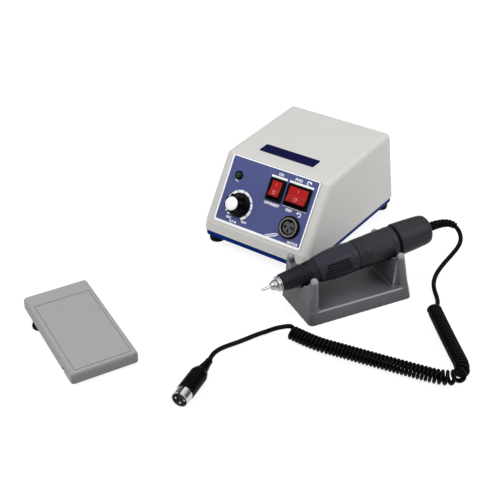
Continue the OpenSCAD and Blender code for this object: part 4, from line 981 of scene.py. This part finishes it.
class MICROMOTOR_OT_socket(bpy.types.Operator):
    """Finishes the motor socket with its grey front ring"""

    bl_idname = "micromotor.socket"
    bl_label = "Socket"

    middle = np.array([30.0, 19.7])

    def execute(self, context):
        smooth_copy("motor_socket", black_gloss(), 0.0003)
        # Painted shade in the core's hollows
        dress("socket_core", finish("core_moulding", tone(84, 84, 86), 0.4, mottle=0.08, spec=0.2, hollow_shade=0.7))
        grey = finish("ring_metal", tone(112, 108, 108), 0.4, metal=0.3, grain=800, mottle=0.06, bump=0.04)
        profile = [[8.55, 3.3], [8.5, 3.46], [8.2, 3.56], [7.3, 3.56], [7.05, 3.46], [7.0, 3.2]]
        points = turned(profile, on_panel(self.middle, 0.0), PANEL_N, PANEL_X)
        faces = grid_faces(len(profile), 64, close_columns=True)[:, ::-1]
        piece("socket_ring", points, faces, "set", grey)
        self.slots()
        return {"FINISHED"}

    def slots(self):
        """Painted shade in the contact slots: a dark rectangle over each slot, its corners along and across a slanting
        direction.
        """
        half_long, half_wide, height = 1.5, 0.66, 2.45
        place = self.middle + [[-3.1, -0.3], [2.9, 0.3], [0.0, -3.1]]
        slant = np.array([48, -42, 90])
        along, across = rays(slant)[:, None], rays(slant + 90)[:, None]
        x, y = half_long * np.array([-1, 1, 1, -1]), half_wide * np.array([-1, -1, 1, 1])
        points = on_panel(place[:, None] + x[:, None] * along + y[:, None] * across, height) * MM
        # Painted shade: matt black sheets stand for the shade inside the slots
        dark = finish("slot_painted_shade", tone(3, 3, 3), 0.7, mottle=0.2, bump=0.02, spec=0.02)
        piece("socket_slot_shade", points, np.arange(12).reshape(3, 4), "set", dark, smooth=False)


# Handpiece, cradle and plug


class MICROMOTOR_OT_cradle(bpy.types.Operator):
    """Finishes the cradle with soft edges"""

    bl_idname = "micromotor.cradle"
    bl_label = "Cradle"

    wall_top = 26.0

    def execute(self, context):
        h = context.scene.micromotor_hand
        # Painted shadow on the deck and walls under the handpiece, and a painted highlight on ridges such as the
        # deck's front edge
        grey = finish("cradle_satin", h.cradle, 0.44, grain=800, mottle=0.04, bump=0.07, bump_scale=3000,
                      spec=0.3, reach_shadow=0.92, ridge_highlight=0.9)
        lean = 5.7 / 41.3
        walls = self.end_wall(4.0, 5.7), self.end_wall(93.0, 91.3 - lean * self.wall_top)
        soft_copy("cradle", grey, h.cradle_cell, h.cradle_passes, walls)
        return {"FINISHED"}

    def end_wall(self, foot, head):
        """The lower part of an end wall, flush with the base: a round-cornered outline at the table joined to
        the same outline drawn in at the top, both turned with the cradle."""
        width, middle, half, bottom = 52.4, 26.2, 3.6, 0.2
        low = round_outline(8.0, width, 4.0) + [foot, middle]
        high = round_outline(2 * half, 41.0 + 2 * half, half) + [head, middle]
        x, y = np.stack([low, high]).transpose(2, 0, 1)
        c, s = math.cos(CRADLE_YAW), math.sin(CRADLE_YAW)
        z = np.broadcast_to([[bottom], [self.wall_top]], x.shape)
        points = CRADLE_O + np.stack([x * c - y * s, x * s + y * c, z], -1)
        return mesh_of("end_wall", points * MM, [f[::-1] for f in tube_faces(2, len(low))])


def sleeve_rings(z, a, r):
    """Seven fine rings: grooves at even stations."""
    first, apart, depth = 9.4, 2.45, 0.5
    k = np.clip(np.round((z - first) / apart), 0, 6)
    return r - depth * groove(z - first - apart * k, 0.8) + 0 * a


def ring_ribs(z, a, r):
    """Two groups of six grooves along the ring, with three short marks near its end: round grooves by angle,
    ended by smooth steps by station."""
    depth, apart, width = bpy.context.scene.micromotor_hand.rib_depth / MM, 10.6, 3.9
    b = (np.degrees(a) - 172) % 180 - 90
    k = np.clip(np.round(b / apart - 0.5), -3, 2) + 0.5
    start, stop = 36 - 0.07 * b, 60.5 + 0.05 * b
    rib = groove(b - apart * k, width) * smooth_step((z - start) / 2) * smooth_step((stop - z) / 1.5)
    first, between, mark_depth, mark_width, ease = 217, 13, 0.4, 2.2, 0.4
    m = np.degrees(a) - first
    m = m - between * np.clip(np.round(m / between), 0, 2)
    mark = groove(m, mark_width) * smooth_step((z - 61) / ease) * smooth_step((63.6 - z) / ease)
    return r - depth * rib - mark_depth * mark


def motor_flats(z, a, r):
    """Three fine rings at the front, then eight flats: a flat's radius is its distance over the cosine."""
    first, apart, depth, cut, start, stop, ease = 70.8, 2, 0.35, 0.42, 79.3, 100.6, 0.4
    k = np.clip(np.round((z - first) / apart), 0, 2)
    b = np.radians((np.degrees(a) + 12.5) % 45 - 22.5)
    along = smooth_step((z - start) / ease) * smooth_step((stop - z) / ease)
    flat = np.minimum((r - cut) / np.cos(b), r)
    return r + (flat - r) * along - depth * groove(z - first - apart * k, 0.5)


def plain_cap(z, a, r):
    """A cap without relief."""
    return r + 0 * a


class MICROMOTOR_OT_handpiece(bpy.types.Operator):
    """Finishes the handpiece shells, nose and tool"""

    bl_idname = "micromotor.handpiece"
    bl_label = "Handpiece"

    step = 0.25

    def execute(self, context):
        h = context.scene.micromotor_hand
        level = float(HAND_O @ HAND_UP)
        underside, upper = (level - 12) * MM, (level + 5) * MM
        # Painted shade: each shell darkens towards its underside, down to about a fifth; painted shade in the grooves
        # and a painted highlight on edges
        looks = dict(run=(HAND_UP, underside, upper, 0.22), mottle=0.08, bump=0.06, bump_scale=5200, lines=HAND_AXIS,
                     edge_light=0.1, spec=0.14, hollow_shade=0.8)
        nose = finish("sleeve_anodised", h.sleeve, 0.38, **looks)
        front = finish("front_anodised", h.shell, 0.38, **looks)
        back = finish("motor_anodised", h.motor, 0.4, **looks)
        self.shell("sleeve_shell", "front_sleeve", sleeve_rings, nose,
                   [[0, 6.7], [0.5, 7.2], [31.3, 9.9], [31.5, 9.7], [31.51, 8.8], [70.4, 8.8]],
                   [[70.4, 5.83], [0, 5.83]])
        self.shell("chuck_shell", "chuck_ring", ring_ribs, front,
                   [[31.8, 10], [32.3, 10.4], [38.5, 11.7], [44.9, 12.6], [54.3, 13], [61.6, 12.8], [67.5, 12.4],
                    [68.1, 12]], [[68.1, 8.85], [31.8, 8.85]], 450)
        self.shell("motor_shell", "motor_housing", motor_flats, back,
                   [[68.4, 12.3], [69, 12.8], [75.4, 12.9], [86.4, 13.4], [100.2, 13.4], [104.7, 13.1], [105.2, 12.6]],
                   [[105.2, 11.2], [75.6, 11.2], [75.6, 5.03], [70.4, 5.03], [70.4, 8.83], [68.4, 8.83]], 360)
        self.shell("cap_shell", "rear_cap", plain_cap, back,
                   [[107.4, 13.6], [107.8, 14], [122, 13.5], [131, 13], [134.6, 12.6], [137, 11.7], [138.4, 10]],
                   [[138.4, 4.33], [135.4, 4.33], [135.4, 8.7], [131.4, 11.2], [107.4, 11.2]])
        self.shell("neck_seal", None, plain_cap, rubber(), [[105.2, 12.2], [107.4, 12.2]],
                   [[107.4, 11.2], [105.2, 11.2]])
        smooth_copy("nose_cap", steel(), 0.0002, steps=2)
        smooth_copy("tool", bright(), 0.0001, steps=2)
        dress("collet", steel())
        return {"FINISHED"}

    def shell(self, name, node, relief, material, profile, bore, sides=128):
        """A closed shell turned round the handpiece's axis: the profile gives the radius at each station, the relief
        takes grooves and flats off it by station and angle, and the bore's radii lead back inside."""
        stations, radii = np.asarray(profile, float).T
        z = np.unique(np.concatenate([np.arange(stations[0], stations[-1], self.step), stations]))[:, None]
        a = np.linspace(0, 2 * math.pi, sides, endpoint=False)[None]
        inside = np.asarray(bore, float)
        radius = np.vstack([relief(z, a, np.interp(z, stations, radii)), inside[:, 1:] + 0 * a])
        z = np.vstack([z, inside[:, :1]])
        down = unit(-HAND_UP)
        ring = circle(sides) @ np.stack([down, np.cross(HAND_AXIS, down)])
        points = HAND_O + (z[..., None] - HAND_REF) * HAND_AXIS + radius[..., None] * ring
        faces = grid_faces(len(z), sides, close_rows=True, close_columns=True)[:, ::-1]
        body = BODY_OF[node] if node else "set"
        obj = piece(name, points * MM, faces, body, material)
        obj.data.set_sharp_from_angle(angle=math.radians(50))
        if node:
            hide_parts(node)


class MICROMOTOR_OT_plug(bpy.types.Operator):
    """Finishes the plug on the cord's far end"""

    bl_idname = "micromotor.plug"
    bl_label = "Plug"

    def execute(self, context):
        # Painted shade in the plug's hollows
        dress("plug_body", finish("plug_moulding", tone(2, 2, 3), 0.42, grain=1100, mottle=0.12, bump=0.07,
                                  spec=0.05, hollow_shade=0.6))
        dress("plug_shell plug_pins", bright())
        dress("plug_core", finish("plug_insert", tone(16, 16, 17), 0.5, grain=1100, mottle=0.1))
        return {"FINISHED"}


class MICROMOTOR_OT_pedal(bpy.types.Operator):
    """Finishes the foot pedal"""

    bl_idname = "micromotor.pedal"
    bl_label = "Pedal"

    def execute(self, context):
        p = context.scene.micromotor_pedal
        # Painted shade on the faces turned towards +x and -y and in hollows, and a painted highlight on edges
        top = finish("tread_grain", p.tread, 0.55, grain=1400, mottle=0.035, bump=0.3, bump_scale=2400,
                     edge_light=0.1, spec=0.25, hollow_shade=0.25, away=((0.909, -0.417, 0.0), 0.62))
        smooth_copy("pedal_tread", top, 0.0005)
        dress("pedal_base pedal_switch", finish("pedal_base_moulding", p.base, 0.5, mottle=0.1, bump=0.1))
        smooth_copy("pedal_feet", rubber(), 0.0004)
        dress("pedal_pin", black_gloss())
        dress("pedal_plunger", finish("plunger_red", tone(170, 40, 36), 0.4))
        self.spring(steel())
        return {"FINISHED"}

    def spring(self, material):
        """The return spring: a round wire whose middle goes round a circle and rises evenly between two flat
        end turns."""
        low, high = (np.array(corner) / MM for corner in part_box("pedal_spring"))
        wire, turns, per_turn, sides, clear, travel = 0.5, 5, 36, 12, 0.05, 3.75
        k = np.linspace(0, turns, turns * per_turn + 1)
        out = np.column_stack([rays(360 * k), 0 * k])
        rise = np.clip((k - 1) / (turns - 2), 0, 1) + 0.006 * (np.minimum(k, 1) + np.maximum(k - turns + 1, 0) - 1)
        middle = (low + high) / 2
        path = middle * (1, 1, 0) + out * ((high - low)[0] / 2 - wire)
        path[:, 2] = low[2] + wire + clear + rise * (high[2] - low[2] - 2 * (wire + clear))
        section = np.broadcast_to(wire * circle(sides), (len(k), sides, 2))
        points = swept(path, out, np.broadcast_to([0.0, 0.0, 1.0], out.shape), section) * MM
        obj = piece("return_spring", points, tube_faces(len(k), sides), "set", material)
        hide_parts("pedal_spring")
        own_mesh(obj)


class MICROMOTOR_OT_inside(bpy.types.Operator):
    """Finishes the solids inside the unit and the handpiece"""

    bl_idname = "micromotor.inside"
    bl_label = "Inside"

    def execute(self, context):
        plates = finish("core_plates", tone(96, 100, 104), 0.5, metal=0.7, grain=500, mottle=0.12, bump=0.25,
                        bump_scale=4000, lines=(0, 1, 0))
        copper = finish("copper_wire", tone(184, 112, 62), 0.35, metal=0.9, grain=500, mottle=0.1, bump=0.4,
                        bump_scale=3000, lines=(0, 0, 1))
        dress("transformer_core", plates)
        dress("transformer_winding armature", copper)
        dress("spindle motor_shaft spindle_bearings motor_bearings brush_springs", steel())
        for node, name, colour, rough, metal, grain, mottle in (
                ("circuit_board", "board_laminate", (22, 92, 52), 0.4, 0.0, 400, 0.15),
                ("board_parts", "sleeved_parts", (40, 44, 84), 0.35, 0.0, 500, 0.12),
                ("drive_coupling", "coupling_brass", (186, 150, 84), 0.3, 1.0, 500, 0.05),
                ("commutator", "commutator_copper", (196, 122, 72), 0.28, 1.0, 500, 0.05),
                ("field_magnets", "magnet_ground", (74, 74, 76), 0.5, 0.4, 700, 0.12),
                ("brush_holder", "holder_resin", (88, 62, 40), 0.5, 0.0, 600, 0.12),
                ("carbon_brushes", "pressed_carbon", (36, 36, 37), 0.6, 0.0, 1500, 0.2)):
            dress(node, finish(name, tone(*colour), rough, metal=metal, grain=grain, mottle=mottle))
        return {"FINISHED"}


class MICROMOTOR_PT_panel(bpy.types.Panel):
    """Lists the finish steps and the values they use."""

    bl_idname = "MICROMOTOR_PT_panel"
    bl_label = "Micromotor"
    bl_space_type = "VIEW_3D"
    bl_region_type = "UI"
    bl_category = "Micromotor"

    def draw(self, context):
        for operator in OPERATORS:
            self.layout.operator(operator.bl_idname)
        for name in GROUPS:
            box = self.layout.box()
            group = getattr(context.scene, name)
            for key in group.bl_rna.properties.keys():
                if key not in ("rna_type", "name"):
                    box.prop(group, key)


GROUPS = {"micromotor_stage": StageLooks, "micromotor_cord": CordLooks, "micromotor_case": CaseLooks,
          "micromotor_panel": PanelLooks, "micromotor_hand": HandLooks, "micromotor_pedal": PedalLooks}
OPERATORS = (MICROMOTOR_OT_stage, MICROMOTOR_OT_cord, MICROMOTOR_OT_case, MICROMOTOR_OT_panel,
             MICROMOTOR_OT_switches, MICROMOTOR_OT_knob, MICROMOTOR_OT_socket, MICROMOTOR_OT_cradle,
             MICROMOTOR_OT_handpiece, MICROMOTOR_OT_plug, MICROMOTOR_OT_pedal, MICROMOTOR_OT_inside)


def register():
    """Makes the groups, operators and panel known to Blender."""
    for cls in (*GROUPS.values(), *OPERATORS, MICROMOTOR_PT_panel):
        bpy.utils.register_class(cls)
    for name, cls in GROUPS.items():
        setattr(bpy.types.Scene, name, bpy.props.PointerProperty(type=cls))


def unregister():
    """Takes the groups, operators and panel out of Blender."""
    for name in GROUPS:
        delattr(bpy.types.Scene, name)
    for cls in (MICROMOTOR_PT_panel, *reversed(OPERATORS), *reversed(tuple(GROUPS.values()))):
        bpy.utils.unregister_class(cls)


def main():
    """Builds every piece in order."""
    register()
    bpy.ops.micromotor.stage()
    bpy.ops.micromotor.cord()
    bpy.ops.micromotor.case()
    bpy.ops.micromotor.panel()
    bpy.ops.micromotor.switches()
    bpy.ops.micromotor.knob()
    bpy.ops.micromotor.socket()
    bpy.ops.micromotor.cradle()
    bpy.ops.micromotor.handpiece()
    bpy.ops.micromotor.plug()
    bpy.ops.micromotor.pedal()
    bpy.ops.micromotor.inside()


if __name__ == "__main__":
    main()
